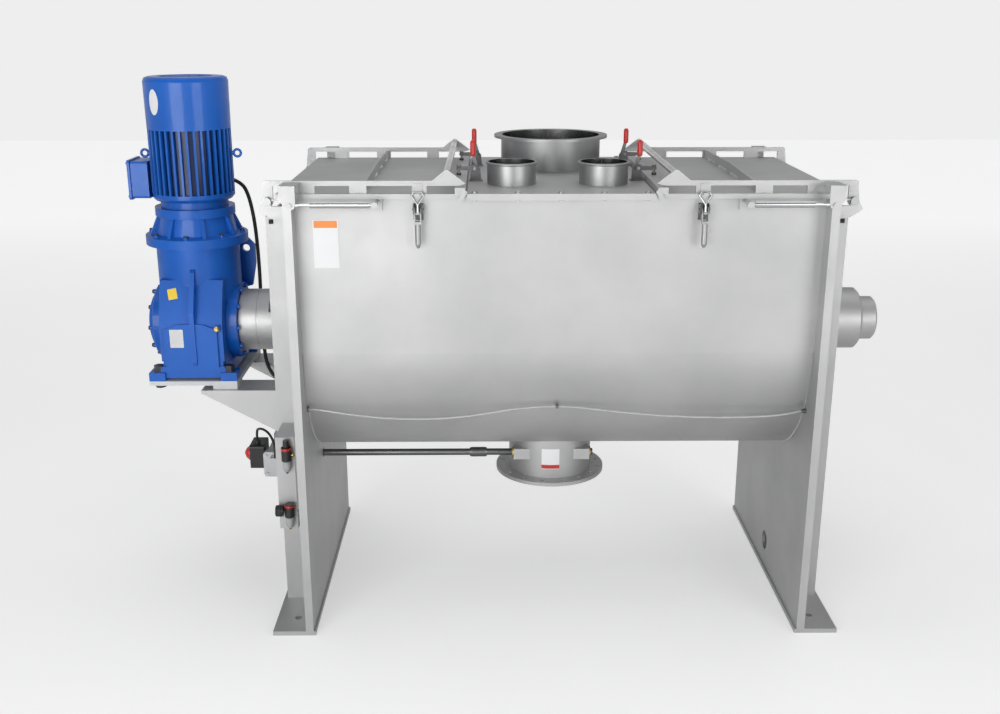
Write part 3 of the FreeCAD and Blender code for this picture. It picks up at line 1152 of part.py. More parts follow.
def build():
    os.makedirs("parts", exist_ok=True)
    export("left_end_frame", left_end_frame())
    export("right_end_frame", right_end_frame())
    export("hinge_pins", hinge_pins())
    export("trough_shell", trough_shell())
    export("cross_beams", cross_beams())
    export("centre_deck", centre_deck())
    export("inlet_necks", inlet_necks())
    export("deck_bolts", deck_bolts())
    export("outlet_spout", outlet_spout())
    export("valve_bushes", valve_bushes())
    export("valve_flap", valve_flap())
    export("valve_shaft", valve_shaft())
    export("valve_actuator", valve_actuator())
    export("limit_switch_box", limit_switch_box())
    export("main_shaft", main_shaft())
    export("ribbon_spokes", ribbon_spokes())
    export("outer_ribbons", outer_ribbons())
    export("inner_ribbons", inner_ribbons())
    right = {"lid_sheet": lid_sheet(), "lid_rails": lid_rails(), "lid_handle": lid_handle(),
             "gas_cylinders": both_ends(gas_cylinder()), "gas_rods": both_ends(gas_rod()),
             "latch_lever": latch_lever(), "latch_bail": latch_bail()}
    for name, shapes in right.items():
        shapes = shapes if isinstance(shapes, list) else [shapes]
        export("right_" + name, shapes)
        export("left_" + name, [mirrored_x(shape) for shape in shapes])
    bases = []
    for place, y in (("front", CLAMP_Y_FRONT), ("rear", CLAMP_Y_REAR)):
        for side in ("right", "left"):
            turn = mirrored_x if side == "left" else (lambda shape: shape)
            bases.append(turn(moved_y(clamp_base(), y)))
            export(place + "_" + side + "_clamp_arm", turn(moved_y(clamp_arm(), y)))
            export(place + "_" + side + "_clamp_handle", turn(moved_y(clamp_handle(), y)))
    export("clamp_bases", bases)
    export("latch_bases", [latch_base(), mirrored_x(latch_base())])
    export("drive_bracket", drive_bracket())
    export("motor_base_plate", motor_base_plate())
    export("gearbox_bolts", gearbox_bolts())
    export("gearbox_housing", gearbox_housing())
    export("gearbox_side_cover", gearbox_side_cover())
    export("motor_adapter", motor_adapter())
    export("motor_stator", motor_stator())
    export("motor_fan_cowl", motor_fan_cowl())
    export("motor_terminal_box", motor_terminal_box())
    export("left_shaft_housing", left_shaft_housing())
    export("right_bearing_housing", right_bearing_housing())
    export("bearing_end_cap", bearing_end_cap())
    export("air_panel", air_panel())
    export("filter_regulators", filter_regulators())
    export("motor_cable", cord("motor cable", MOTOR_CABLE_ROUTE, MOTOR_CABLE_D))
    export("air_tube", cord("air tube", AIR_TUBE_ROUTE, AIR_TUBE_D))
    export("switch_cable", cord("switch cable", SWITCH_CABLE_ROUTE, SWITCH_CABLE_D))
    export("tube_fittings", tube_fittings())


build()
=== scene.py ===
import bmesh
import bpy
import math
from mathutils import Matrix, Vector


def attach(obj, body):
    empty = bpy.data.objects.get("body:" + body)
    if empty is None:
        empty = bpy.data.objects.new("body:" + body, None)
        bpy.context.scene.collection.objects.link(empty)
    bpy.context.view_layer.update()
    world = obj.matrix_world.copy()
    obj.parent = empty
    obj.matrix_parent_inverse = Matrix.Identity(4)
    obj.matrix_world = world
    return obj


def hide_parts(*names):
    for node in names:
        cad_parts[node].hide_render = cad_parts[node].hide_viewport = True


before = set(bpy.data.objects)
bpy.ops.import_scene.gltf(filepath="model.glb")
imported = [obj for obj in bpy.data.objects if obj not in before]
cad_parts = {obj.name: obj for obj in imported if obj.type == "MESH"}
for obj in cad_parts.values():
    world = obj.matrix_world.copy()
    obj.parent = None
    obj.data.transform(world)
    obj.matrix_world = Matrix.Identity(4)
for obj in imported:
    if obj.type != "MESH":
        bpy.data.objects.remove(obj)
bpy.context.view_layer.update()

# End frames, cross beams and trough: folded and rolled stainless plate, blasted to a soft satin.
# The shell is welded between the end plates, and a row of hand-laid beads runs along each joint.
# The finish is clouded by handling, finely dimpled by the blasting and a little brighter on its edges.


def nodes_of(name):
    material = bpy.data.materials.new(name)
    material.use_nodes = True
    tree = material.node_tree
    return material, tree, tree.nodes["Principled BSDF"]


def own_place(tree):
    """Coordinates of the piece itself, so that a finish stays on it when it moves."""
    return tree.nodes.new("ShaderNodeTexCoord").outputs["Object"]


def link_noise(tree, scale, detail, coordinates):
    noise = tree.nodes.new("ShaderNodeTexNoise")
    noise.inputs["Scale"].default_value = scale
    noise.inputs["Detail"].default_value = detail
    tree.links.new(coordinates, noise.inputs["Vector"])
    return noise.outputs["Fac"]


def span(tree, value, low, high, out_low, out_high):
    node = tree.nodes.new("ShaderNodeMapRange")
    node.inputs["From Min"].default_value = low
    node.inputs["From Max"].default_value = high
    node.inputs["To Min"].default_value = out_low
    node.inputs["To Max"].default_value = out_high
    tree.links.new(value, node.inputs["Value"])
    return node.outputs["Result"]


def reckon(tree, operation, first, second):
    """One sum with two terms, each a plain number or the output of another node."""
    node = tree.nodes.new("ShaderNodeMath")
    node.operation = operation
    for socket, term in zip(node.inputs, (first, second)):
        if isinstance(term, (int, float)):
            socket.default_value = term
        else:
            tree.links.new(term, socket)
    return node.outputs[0]


def blend(tree, factor, first, second):
    """Mixes two colours by a mask, each a plain colour or the output of another node."""
    mix = tree.nodes.new("ShaderNodeMix")
    mix.data_type = "RGBA"
    for socket, colour in (("A", first), ("B", second)):
        if isinstance(colour, (tuple, list)):
            mix.inputs[socket].default_value = (*colour, 1)
        else:
            tree.links.new(colour, mix.inputs[socket])
    tree.links.new(factor, mix.inputs["Factor"])
    return mix.outputs["Result"]


def relief(tree, shader, height, strength, depth):
    bump = tree.nodes.new("ShaderNodeBump")
    bump.inputs["Strength"].default_value = strength
    bump.inputs["Distance"].default_value = depth
    tree.links.new(height, bump.inputs["Height"])
    tree.links.new(bump.outputs["Normal"], shader.inputs["Normal"])


# Worn edges: a mask, bright where the bevelled normal turns away from the flat one, broken up by noise.
wear = bpy.data.node_groups.new("edge_wear", "ShaderNodeTree")
wear.interface.new_socket("Width", in_out="INPUT", socket_type="NodeSocketFloat")
wear.interface.new_socket("Amount", in_out="INPUT", socket_type="NodeSocketFloat")
wear.interface.new_socket("Mask", in_out="OUTPUT", socket_type="NodeSocketFloat")
wear_in = wear.nodes.new("NodeGroupInput")
wear_out = wear.nodes.new("NodeGroupOutput")
wear_bevel = wear.nodes.new("ShaderNodeBevel")
wear_bevel.samples = 4
wear_flat = wear.nodes.new("ShaderNodeNewGeometry")
wear_dot = wear.nodes.new("ShaderNodeVectorMath")
wear_dot.operation = "DOT_PRODUCT"
wear.links.new(wear_in.outputs["Width"], wear_bevel.inputs["Radius"])
wear.links.new(wear_bevel.outputs["Normal"], wear_dot.inputs[0])
wear.links.new(wear_flat.outputs["Normal"], wear_dot.inputs[1])
wear_edge = span(wear, wear_dot.outputs["Value"], 0.98, 0.80, 0, 1)
wear_breaks = span(wear, link_noise(wear, 60, 3, own_place(wear)), 0.35, 0.65, 0.3, 1)
wear_broken = reckon(wear, "MULTIPLY", wear_edge, wear_breaks)
wear_mask = reckon(wear, "MULTIPLY", wear_broken, wear_in.outputs["Amount"])
wear.links.new(wear_mask, wear_out.inputs["Mask"])

# Blasted grain: broad clouds for the tone, fine dimples for the bump, and rubbed patches for the roughness.
grain = bpy.data.node_groups.new("blasted_grain", "ShaderNodeTree")
grain_marks = {"Cloud": (3.2, 5), "Dimples": (900, 2), "Rub": (14, 6)}
for mark in grain_marks:
    grain.interface.new_socket(mark, in_out="OUTPUT", socket_type="NodeSocketFloat")
grain_out = grain.nodes.new("NodeGroupOutput")
for mark, (scale, detail) in grain_marks.items():
    grain.links.new(link_noise(grain, scale, detail, own_place(grain)), grain_out.inputs[mark])


def worn_edges(tree, width, amount):
    edges = tree.nodes.new("ShaderNodeGroup")
    edges.node_tree = wear
    edges.inputs["Width"].default_value = width
    edges.inputs["Amount"].default_value = amount
    return edges.outputs["Mask"]


def steel(name, dark, light, rough_low, rough_high, bump, metallic=1.0, edge=0.5):
    """Metal with a clouded tone, roughness that follows handling, dimples and slightly brighter edges."""
    material, tree, shader = nodes_of(name)
    edge_width, edge_gain, dimple_depth = 0.002, 1.18, 0.0006
    marks = tree.nodes.new("ShaderNodeGroup")
    marks.node_tree = grain
    base = blend(tree, span(tree, marks.outputs["Cloud"], 0.35, 0.65, 0, 1), dark, light)
    edge_tone = [min(1, c * edge_gain) for c in light]
    lit = blend(tree, worn_edges(tree, edge_width, edge), base, edge_tone)
    tree.links.new(lit, shader.inputs["Base Color"])
    shader.inputs["Metallic"].default_value = metallic
    handled = span(tree, marks.outputs["Rub"], 0.25, 0.75, rough_low, rough_high)
    tree.links.new(handled, shader.inputs["Roughness"])
    relief(tree, shader, marks.outputs["Dimples"], bump, dimple_depth)
    return material


def dress(material, *names):
    """Gives the named solids their finish."""
    for name in names:
        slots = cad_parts[name].data.materials
        slots.clear()
        slots.append(material)


def finished(name, shape, materials, body):
    """Makes a piece of a shape built in the machine's frame, and hands it to the body that it moves with."""
    mesh = bpy.data.meshes.new(name)
    shape.to_mesh(mesh)
    shape.free()
    obj = bpy.data.objects.new(name, mesh)
    bpy.context.collection.objects.link(obj)
    for material in materials:
        mesh.materials.append(material)
    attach(obj, body)


satin = steel("stainless_satin", (0.46, 0.462, 0.462), (0.525, 0.527, 0.525), 0.46, 0.56, 0.35, metallic=0.82)
dress(satin, "left_end_frame", "right_end_frame", "trough_shell", "cross_beams")

axis_height = 0.893
shell_face = 0.4032
weld_end = 0.7485
beads = 150
for side, word in ((-1, "left"), (1, "right")):
    seam = bmesh.new()
    for i in range(beads):
        angle = math.radians(180 + 180 * i / (beads - 1))
        y = shell_face * math.cos(angle)
        z = axis_height + shell_face * math.sin(angle)
        bead_size = 0.0030 + 0.0006 * math.sin(i * 2.3)
        made = bmesh.ops.create_uvsphere(seam, u_segments=8, v_segments=6, radius=bead_size)
        bmesh.ops.translate(seam, verts=made["verts"], vec=(side * weld_end, y, z))
    for f in seam.faces:
        f.smooth = True
    finished("shell_weld_" + word, seam, [satin], "frame")

# Trough placard: a thin printed plate, left blank, with a plain orange band along its top.
# It is glued on the front of the shell near the left end.


def paint(name, colour, dark, rough, coat, chip, grain_scale=160, bump=0.12):
    """Sprayed paint or moulded plastic: slight tone drift, orange peel, worn edges and a coat."""
    material, tree, shader = nodes_of(name)
    chip_width, chip_tone, chip_share, rough_drift = 0.0015, 0.75, 0.35, 0.14
    coat_rough, peel_depth = 0.08, 0.0005
    coordinates = own_place(tree)
    drift = blend(tree, span(tree, link_noise(tree, 6, 5, coordinates), 0.3, 0.7, 0, 1), dark, colour)
    pale = [c + (chip_tone - c) * chip_share for c in colour]
    worn = blend(tree, worn_edges(tree, chip_width, chip), drift, pale)
    tree.links.new(worn, shader.inputs["Base Color"])
    handled = span(tree, link_noise(tree, 30, 4, coordinates), 0.3, 0.7, rough, rough + rough_drift)
    tree.links.new(handled, shader.inputs["Roughness"])
    shader.inputs["Coat Weight"].default_value = coat
    shader.inputs["Coat Roughness"].default_value = coat_rough
    relief(tree, shader, link_noise(tree, grain_scale, 3, coordinates), bump, peel_depth)
    return material


def slab(bm, lo, hi, bevel=0.0, index=0):
    """A block between two corners, with its edges broken by the bevel."""
    verts = bmesh.ops.create_cube(bm, size=1.0)["verts"]
    for v in verts:
        v.co = Vector([lo[i] + (v.co[i] + 0.5) * (hi[i] - lo[i]) for i in range(3)])
    for f in {f for v in verts for f in v.link_faces}:
        f.material_index = index
    if bevel:
        edges = list({e for v in verts for e in v.link_edges})
        bmesh.ops.bevel(bm, geom=edges, offset=bevel, segments=2, affect="EDGES")


white = paint("plate_white", (0.78, 0.79, 0.80), (0.70, 0.71, 0.72), 0.30, 0.3, 0.1)
orange = paint("band_orange", (0.85, 0.26, 0.02), (0.75, 0.21, 0.015), 0.32, 0.3, 0.1)
placard = bmesh.new()
slab(placard, (-0.702, -0.4032, 1.150), (-0.630, -0.4021, 1.288), 0.0004)
slab(placard, (-0.699, -0.4036, 1.266), (-0.633, -0.4032, 1.286), 0.0, 1)
finished("trough_placard", placard, [white, orange], "frame")

# Outlet pipe and flap: a rolled stainless pipe with a flange, welded under the trough. A curved flap inside
# it turns on two brass bushes, by a long drawn tube that comes from the left end frame. A second blank
# placard with a red band is wrapped to the front of the pipe.
brass = steel("brass_turned", (0.58, 0.40, 0.13), (0.74, 0.54, 0.20), 0.18, 0.32, 0.05)
tube_steel = steel("tube_drawn", (0.115, 0.115, 0.12), (0.17, 0.17, 0.175), 0.26, 0.38, 0.05)
clear_red = paint("ring_red", (0.55, 0.02, 0.015), (0.45, 0.015, 0.012), 0.2, 0.5, 0.1)
dress(satin, "outlet_spout", "valve_flap")
dress(brass, "valve_bushes")
dress(tube_steel, "valve_shaft")

plate_start, plate_sweep, plate_steps = -90 - 14, 24.5, 12
outlet_plate = bmesh.new()
for band, (low, high, out) in enumerate(((0.417, 0.487, 0.1372), (0.419, 0.432, 0.1376))):
    columns = []
    for i in range(plate_steps + 1):
        angle = math.radians(plate_start + plate_sweep * i / plate_steps)
        columns.append([outlet_plate.verts.new((out * math.cos(angle), out * math.sin(angle), z))
                        for z in (low, high)])
    for a, b in zip(columns, columns[1:]):
        face = outlet_plate.faces.new((a[0], b[0], b[1], a[1]))
        face.material_index = band
        face.smooth = True
finished("outlet_placard", outlet_plate, [white, clear_red], "frame")

# Agitator and its bearings: a bright ground shaft with round spokes, and ribbons of satin flat bar welded to
# them as two pairs of helices. The shaft turns in a housing bolted to each end frame, capped on the right.
bright = steel("stainless_bright", (0.50, 0.505, 0.51), (0.62, 0.625, 0.63), 0.16, 0.28, 0.05)
dress(satin, "outer_ribbons", "inner_ribbons", "ribbon_spokes")
dress(satin, "left_shaft_housing", "right_bearing_housing", "bearing_end_cap")
dress(bright, "main_shaft")

# Centre deck: a satin stainless sheet, held on the trough's rim by rows of bright bolts.
# Each bolt has a thin turned washer under its head.


def disc(bm, centre, axis, radius, thickness, segments=32, bevel=0.0, index=0):
    """A short round bar whose middle is at centre, with both rims bevelled."""
    made = bmesh.ops.create_cone(bm, cap_ends=True, segments=segments, radius1=radius, radius2=radius,
                                 depth=thickness)
    turn = Vector((0, 0, 1)).rotation_difference(Vector(axis)).to_matrix().to_4x4()
    bmesh.ops.transform(bm, matrix=Matrix.Translation(Vector(centre)) @ turn, verts=made["verts"])
    for f in {f for v in made["verts"] for f in v.link_faces}:
        f.material_index = index
        f.smooth = len(f.verts) == 4
    if bevel:
        rims = [e for e in {e for v in made["verts"] for e in v.link_edges}
                if any(len(f.verts) > 4 for f in e.link_faces)]
        bmesh.ops.bevel(bm, geom=rims, offset=bevel, segments=2, affect="EDGES")


def repeated(name, shape, places, material, body, seed, turn):
    """Sets one small shape at every place, each turned a little, and makes one piece of them."""
    points = bpy.data.meshes.new(name + "_places")
    points.from_pydata([tuple(p) for p in places], [], [])
    holder = bpy.data.objects.new(name + "_holder", points)
    bpy.context.collection.objects.link(holder)
    source_mesh = bpy.data.meshes.new(name + "_source")
    shape.to_mesh(source_mesh)
    shape.free()
    source = bpy.data.objects.new(name + "_source", source_mesh)
    bpy.context.collection.objects.link(source)
    group = bpy.data.node_groups.new(name + "_layout", "GeometryNodeTree")
    group.interface.new_socket("Geometry", in_out="INPUT", socket_type="NodeSocketGeometry")
    seed_socket = group.interface.new_socket("Seed", in_out="INPUT", socket_type="NodeSocketInt")
    turn_socket = group.interface.new_socket("Turn", in_out="INPUT", socket_type="NodeSocketFloat")
    group.interface.new_socket("Geometry", in_out="OUTPUT", socket_type="NodeSocketGeometry")
    start = group.nodes.new("NodeGroupInput")
    end = group.nodes.new("NodeGroupOutput")
    info = group.nodes.new("GeometryNodeObjectInfo")
    info.inputs["Object"].default_value = source
    random_turn = group.nodes.new("FunctionNodeRandomValue")
    random_turn.data_type = "FLOAT"
    combine = group.nodes.new("ShaderNodeCombineXYZ")
    place = group.nodes.new("GeometryNodeInstanceOnPoints")
    real = group.nodes.new("GeometryNodeRealizeInstances")
    coloured = group.nodes.new("GeometryNodeSetMaterial")
    coloured.inputs["Material"].default_value = material
    links = group.links
    links.new(start.outputs["Geometry"], place.inputs["Points"])
    links.new(info.outputs["Geometry"], place.inputs["Instance"])
    links.new(start.outputs["Turn"], random_turn.inputs["Max"])
    links.new(start.outputs["Seed"], random_turn.inputs["Seed"])
    links.new(random_turn.outputs["Value"], combine.inputs["Z"])
    links.new(combine.outputs["Vector"], place.inputs["Rotation"])
    links.new(place.outputs["Instances"], real.inputs["Geometry"])
    links.new(real.outputs["Geometry"], coloured.inputs["Geometry"])
    links.new(coloured.outputs["Geometry"], end.inputs["Geometry"])
    modifier = holder.modifiers.new("layout", "NODES")
    modifier.node_group = group
    modifier[seed_socket.identifier] = seed
    modifier[turn_socket.identifier] = turn
    bpy.context.view_layer.update()
    evaluated = holder.evaluated_get(bpy.context.evaluated_depsgraph_get())
    mesh = bpy.data.meshes.new_from_object(evaluated)
    holder.modifiers.remove(modifier)
    bpy.data.objects.remove(holder)
    bpy.data.objects.remove(source)
    result = bpy.data.objects.new(name, mesh)
    bpy.context.collection.objects.link(result)
    mesh.materials.clear()
    mesh.materials.append(material)
    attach(result, body)


dress(satin, "centre_deck")
dress(bright, "deck_bolts")

full_turn = 6.28
deck_top, bolt_step, bolt_row = 1.365, 0.1215, 0.412
washer = bmesh.new()
disc(washer, (0, 0, 0.0004), (0, 0, 1), 0.0105, 0.0008, 28, 0.0002)
deck_places = [(bolt_step * i, side * bolt_row, deck_top) for i in range(-2, 3) for side in (-1, 1)]
repeated("deck_washers", washer, deck_places, bright, "frame", 3, full_turn)

# Inlet necks: rolled stainless tube spun out to a rim, one large and two small, welded into the deck.
# Inside each stands a dark sleeve of thin sheet, painted shade for the inside of the neck, with a hairline
# weld seam at the back.
spun = steel("neck_spun", (0.33, 0.333, 0.335), (0.41, 0.413, 0.415), 0.38, 0.48, 0.1)
# Painted shade: the sleeves are much darker than the necks' own steel, to stand in for the shade inside each
# neck.
shade_sleeve_steel = steel("neck_painted_shade", (0.15, 0.15, 0.153), (0.24, 0.242, 0.245), 0.20, 0.32, 0.05)
dress(spun, "inlet_necks")

sleeve_facets, sleeve_foot = 96, 1.3655
for label, x, y, radius, rim in (("main", 0.0, 0.190, 0.15885, 1.4675),
                                 ("left_port", -0.136, -0.218, 0.06885, 1.4295),
                                 ("right_port", 0.136, -0.218, 0.06885, 1.4295)):
    shade_sleeve = bmesh.new()
    lower = [shade_sleeve.verts.new((x + radius * math.cos(2 * math.pi * i / sleeve_facets),
                              y + radius * math.sin(2 * math.pi * i / sleeve_facets), sleeve_foot))
             for i in range(sleeve_facets)]
    upper = [shade_sleeve.verts.new((v.co.x, v.co.y, rim)) for v in lower]
    for i in range(sleeve_facets):
        after = (i + 1) % sleeve_facets
        face = shade_sleeve.faces.new((lower[i], upper[i], upper[after], lower[after]))
        face.smooth = True
    seam_middle = (x, y + radius - 0.0006, (sleeve_foot + rim) / 2)
    disc(shade_sleeve, seam_middle, (0, 0, 1), 0.0009, rim - sleeve_foot - 0.004, 8)
    finished(label + "_liner", shade_sleeve, [shade_sleeve_steel], "frame")

# Lids: two satin stainless sheets with notched rails, each hung on two turned pins and lifted by a bright
# tube handle. Small round-head screws hold the stiffeners. A black rubber strip is pressed on the trough's
# rim under each lid, and stays there when the lid opens.
rubber = paint("cable_sheath", (0.020, 0.020, 0.021), (0.012, 0.012, 0.013), 0.48, 0.0, 0.1, 300, 0.2)
dress(spun, "hinge_pins")
lid_top, screw_row = 1.3643, 0.4195
seal_foot, seal_top, seal_width = 1.36002, 1.36028, 0.020
for side, word in ((-1, "left"), (1, "right")):
    lid = word + "_lid"
    dress(satin, lid + "_sheet", lid + "_rails")
    dress(bright, lid + "_handle")
    screw = bmesh.new()
    disc(screw, (0, 0, 0.0010), (0, 0, 1), 0.0045, 0.0020, 20, 0.0006)
    rows = [(side * x, y, lid_top) for x in (0.395, 0.569, 0.714) for y in (-screw_row, screw_row)]
    repeated(lid + "_screws", screw, rows, bright, lid, 5 + side, full_turn)
    seal = bmesh.new()
    near, far = sorted((side * 0.302, side * 0.792))
    for y in (-0.4212, 0.4012):
        slab(seal, (near, y, seal_foot), (far, y + seal_width, seal_top))
    finished("rim_seal_" + word, seal, [rubber], "frame")

# Gas springs: two for each lid, a bright drawn cylinder on the trough and a polished chromed rod.
# They hang on pins, outside the trough's front and back.
polished = steel("rod_polished", (0.78, 0.79, 0.80), (0.86, 0.87, 0.88), 0.04, 0.10, 0.02)
dress(bright, "left_gas_cylinders", "right_gas_cylinders")
dress(polished, "left_gas_rods", "right_gas_rods")

# Toggle clamps: four stampings of zinc-plated steel, riveted together and screwed to the deck's edges. The
# arm ends in a rubber tip on a turned brass screw, and a red plastic grip is dipped over the handle.


def zoned(name, outside, inside, zones, rough_out, rough_in, metal_out=0.0):
    """One piece in two finishes, split at given heights or widths of the piece itself."""
    material, tree, shader = nodes_of(name)
    drift = 0.82
    coordinates = own_place(tree)
    axes = tree.nodes.new("ShaderNodeSeparateXYZ")
    tree.links.new(coordinates, axes.inputs["Vector"])
    mask = None
    for axis, low, high in zones:
        band = tree.nodes.new("ShaderNodeMath")
        band.operation = "COMPARE"
        tree.links.new(axes.outputs[axis], band.inputs[0])
        band.inputs[1].default_value = (low + high) / 2
        band.inputs[2].default_value = (high - low) / 2
        within = band.outputs[0]
        mask = within if mask is None else reckon(tree, "MAXIMUM", mask, within)
    clouds = span(tree, link_noise(tree, 40, 4, coordinates), 0.3, 0.7, 0, 1)
    skin, zone = (blend(tree, clouds, [c * drift for c in tone], tone) for tone in (outside, inside))
    tree.links.new(blend(tree, mask, skin, zone), shader.inputs["Base Color"])
    tree.links.new(span(tree, mask, 0, 1, rough_out, rough_in), shader.inputs["Roughness"])
    tree.links.new(span(tree, mask, 0, 1, metal_out, 0), shader.inputs["Metallic"])
    return material


zinc = steel("zinc_plated", (0.15, 0.15, 0.155), (0.25, 0.25, 0.255), 0.30, 0.44, 0.1)
grip_zone = ("Z", 1.4365, 1.4850)
gripped = zoned("handle_gripped", (0.26, 0.26, 0.265), (0.62, 0.030, 0.022), [grip_zone], 0.34, 0.30, 0.9)
dress(zinc, "clamp_bases")
screw_x, screw_back = 0.293, 0.008
plate_half = 0.0125
for place, y in (("front", -0.160), ("rear", 0.200)):
    for side, word in ((-1, "left"), (1, "right")):
        clamp = place + "_" + word + "_clamp"
        arm = clamp + "_arm_body"
        dress(zinc, clamp + "_arm")
        dress(gripped, clamp + "_handle")
        tip = bmesh.new()
        disc(tip, (side * screw_x, y - screw_back, 1.3862), (0, 0, 1), 0.0072, 0.0070, 24, 0.0012)
        finished(clamp + "_tip", tip, [rubber], arm)
        stud = bmesh.new()
        disc(stud, (side * screw_x, y - screw_back, 1.4085), (0, 0, 1), 0.0039, 0.0110, 20, 0.0006)
        finished(clamp + "_screw", stud, [brass], arm)
        rivets = bmesh.new()
        disc(rivets, (side * 0.246, y - plate_half, 1.402), (0, 1, 0), 0.0045, 0.0016, 20, 0.0004)
        disc(rivets, (side * 0.236, y + plate_half, 1.394), (0, 1, 0), 0.0045, 0.0016, 20, 0.0004)
        finished(clamp + "_rivets", rivets, [bright], "frame")

# Draw latches: a dark pressed base screwed to the trough's front, a stamped lever and a bright bent-wire
# bail. The bail hooks over a keeper on the lid's rail, and the lever pulls it tight.
dress(tube_steel, "latch_bases")
dress(spun, "left_latch_lever", "right_latch_lever")
dress(bright, "left_latch_bail", "right_latch_bail")

# Gear unit: a cast housing with a side cover and an adapter, sprayed blue, bolted by its foot to a grey
# plate on a satin stainless bracket. Dark screws hold the flanges. It carries a turned brass plug, a blank
# yellow sticker and a plain metal rating plate.


def machine_blue(name):
    material = paint(name, (0.006, 0.112, 0.50), (0.004, 0.090, 0.42), 0.30, 0.22, 0.4)
    material.node_tree.nodes["Principled BSDF"].inputs["Specular IOR Level"].default_value = 0.3
    return material


blue = machine_blue("paint_blue")
grey = paint("paint_light_grey", (0.60, 0.62, 0.63), (0.52, 0.54, 0.56), 0.38, 0.25, 0.5)
black = paint("steel_blackened", (0.022, 0.022, 0.024), (0.014, 0.014, 0.016), 0.34, 0.2, 0.6)
yellow = paint("sticker_yellow", (0.85, 0.62, 0.03), (0.78, 0.55, 0.02), 0.34, 0.2, 0.1)
dress(satin, "drive_bracket")
dress(grey, "motor_base_plate")
dress(black, "gearbox_bolts")
dress(blue, "gearbox_housing", "gearbox_side_cover", "motor_adapter")

motor_x = -1.133
half_length, half_width, lift = 0.014, 0.017, 0.0006
sticker = bmesh.new()
slope_up = Vector((0, 0.039, 0.095)).normalized()
slope_out = Vector((0, -0.095, 0.039)).normalized()
along = (Vector((1, 0, 0)) + 0.2 * slope_up).normalized()
across = slope_out.cross(along)
centre = Vector((-1.190, -0.1374, 1.010)) + lift * slope_out
sticker.faces.new([sticker.verts.new(centre + half_length * a * along + half_width * b * across)
                   for a, b in ((-1, -1), (1, -1), (1, 1), (-1, 1))])
finished("gearbox_sticker", sticker, [yellow], "frame")

rating = bmesh.new()
slab(rating, (-1.197, -0.1831, 0.849), (-1.155, -0.1821, 0.907), 0.0003)
for px, pz in ((-1.194, 0.852), (-1.158, 0.852), (-1.194, 0.904), (-1.158, 0.904)):
    disc(rating, (px, -0.1835, pz), (0, 1, 0), 0.0012, 0.0010, 12)
finished("rating_plate", rating, [bright], "frame")

plug = bmesh.new()
disc(plug, (-1.049, -0.187, 0.910), (0, 1, 0), 0.0085, 0.0090, 6, 0.0010)
disc(plug, (-1.049, -0.1925, 0.910), (0, 1, 0), 0.0055, 0.0050, 24, 0.0008)
finished("gearbox_plug", plug, [brass], "frame")

flange_screws, flange_circle, flange_top = 8, 0.144, 1.1895
caps = bmesh.new()
for i in range(flange_screws):
    a = 2 * math.pi * i / flange_screws
    disc(caps, (motor_x + flange_circle * math.cos(a), flange_circle * math.sin(a), flange_top), (0, 0, 1),
         0.0072, 0.0075, 6, 0.0008)
finished("adapter_screws", caps, [black], "frame")

cover_screws, cover_circle, cover_face = 10, 0.106, -1.2795
cover_caps = bmesh.new()
for i in range(cover_screws):
    a = 2 * math.pi * i / cover_screws
    disc(cover_caps, (cover_face, cover_circle * math.cos(a), axis_height + cover_circle * math.sin(a)),
         (1, 0, 0), 0.0066, 0.0060, 24, 0.0008)
finished("cover_screws", cover_caps, [black], "frame")

# Motor: a finned casting with a terminal box and a sheet cowl, in the same blue, darkened down between the
# fins with painted shade and a little dust. A blank oval of white film is stuck to the cowl. Behind the
# grille, a moulded black fan
# sits on the shaft.
blue_groove_shaded = machine_blue("paint_blue_groove_shaded")
fin_root, fin_tip = 0.112, 0.1235
finned_tree = blue_groove_shaded.node_tree
finned_shader = finned_tree.nodes["Principled BSDF"]
from_axis = finned_tree.nodes.new("ShaderNodeVectorMath")
from_axis.operation = "MULTIPLY_ADD"
from_axis.inputs[1].default_value = (1, 1, 0)
from_axis.inputs[2].default_value = (-motor_x, 0, 0)
finned_tree.links.new(own_place(finned_tree), from_axis.inputs[0])
reach = finned_tree.nodes.new("ShaderNodeVectorMath")
reach.operation = "LENGTH"
finned_tree.links.new(from_axis.outputs["Vector"], reach.inputs[0])
paint_tone = finned_shader.inputs["Base Color"].links[0].from_socket
# Painted shade: the blue turns near black from the fin tips down to the roots, for the shade between the
# fins, with a little dust.
groove_shade_mask = span(finned_tree, reach.outputs["Value"], fin_root, fin_tip, 0, 1)
finned_tree.links.new(blend(finned_tree, groove_shade_mask, (0.002, 0.018, 0.085), paint_tone),
                      finned_shader.inputs["Base Color"])
dress(blue, "motor_fan_cowl", "motor_terminal_box")
dress(blue_groove_shaded, "motor_stator")

oval_turn = math.radians(-125)
oval_reach, oval_height, oval_steps = 0.1288, 1.592, 48
oval = bmesh.new()
middle = oval.verts.new((motor_x + oval_reach * math.cos(oval_turn), oval_reach * math.sin(oval_turn),
                         oval_height))
edge = []
for i in range(oval_steps):
    t = 2 * math.pi * i / oval_steps
    angle = oval_turn + 0.0195 * math.cos(t) / oval_reach
    edge.append(oval.verts.new((motor_x + oval_reach * math.cos(angle), oval_reach * math.sin(angle),
                                oval_height + 0.038 * math.sin(t))))
for i in range(oval_steps):
    face = oval.faces.new((middle, edge[i], edge[(i + 1) % oval_steps]))
    face.smooth = True
finished("cowl_oval", oval, [white], "frame")

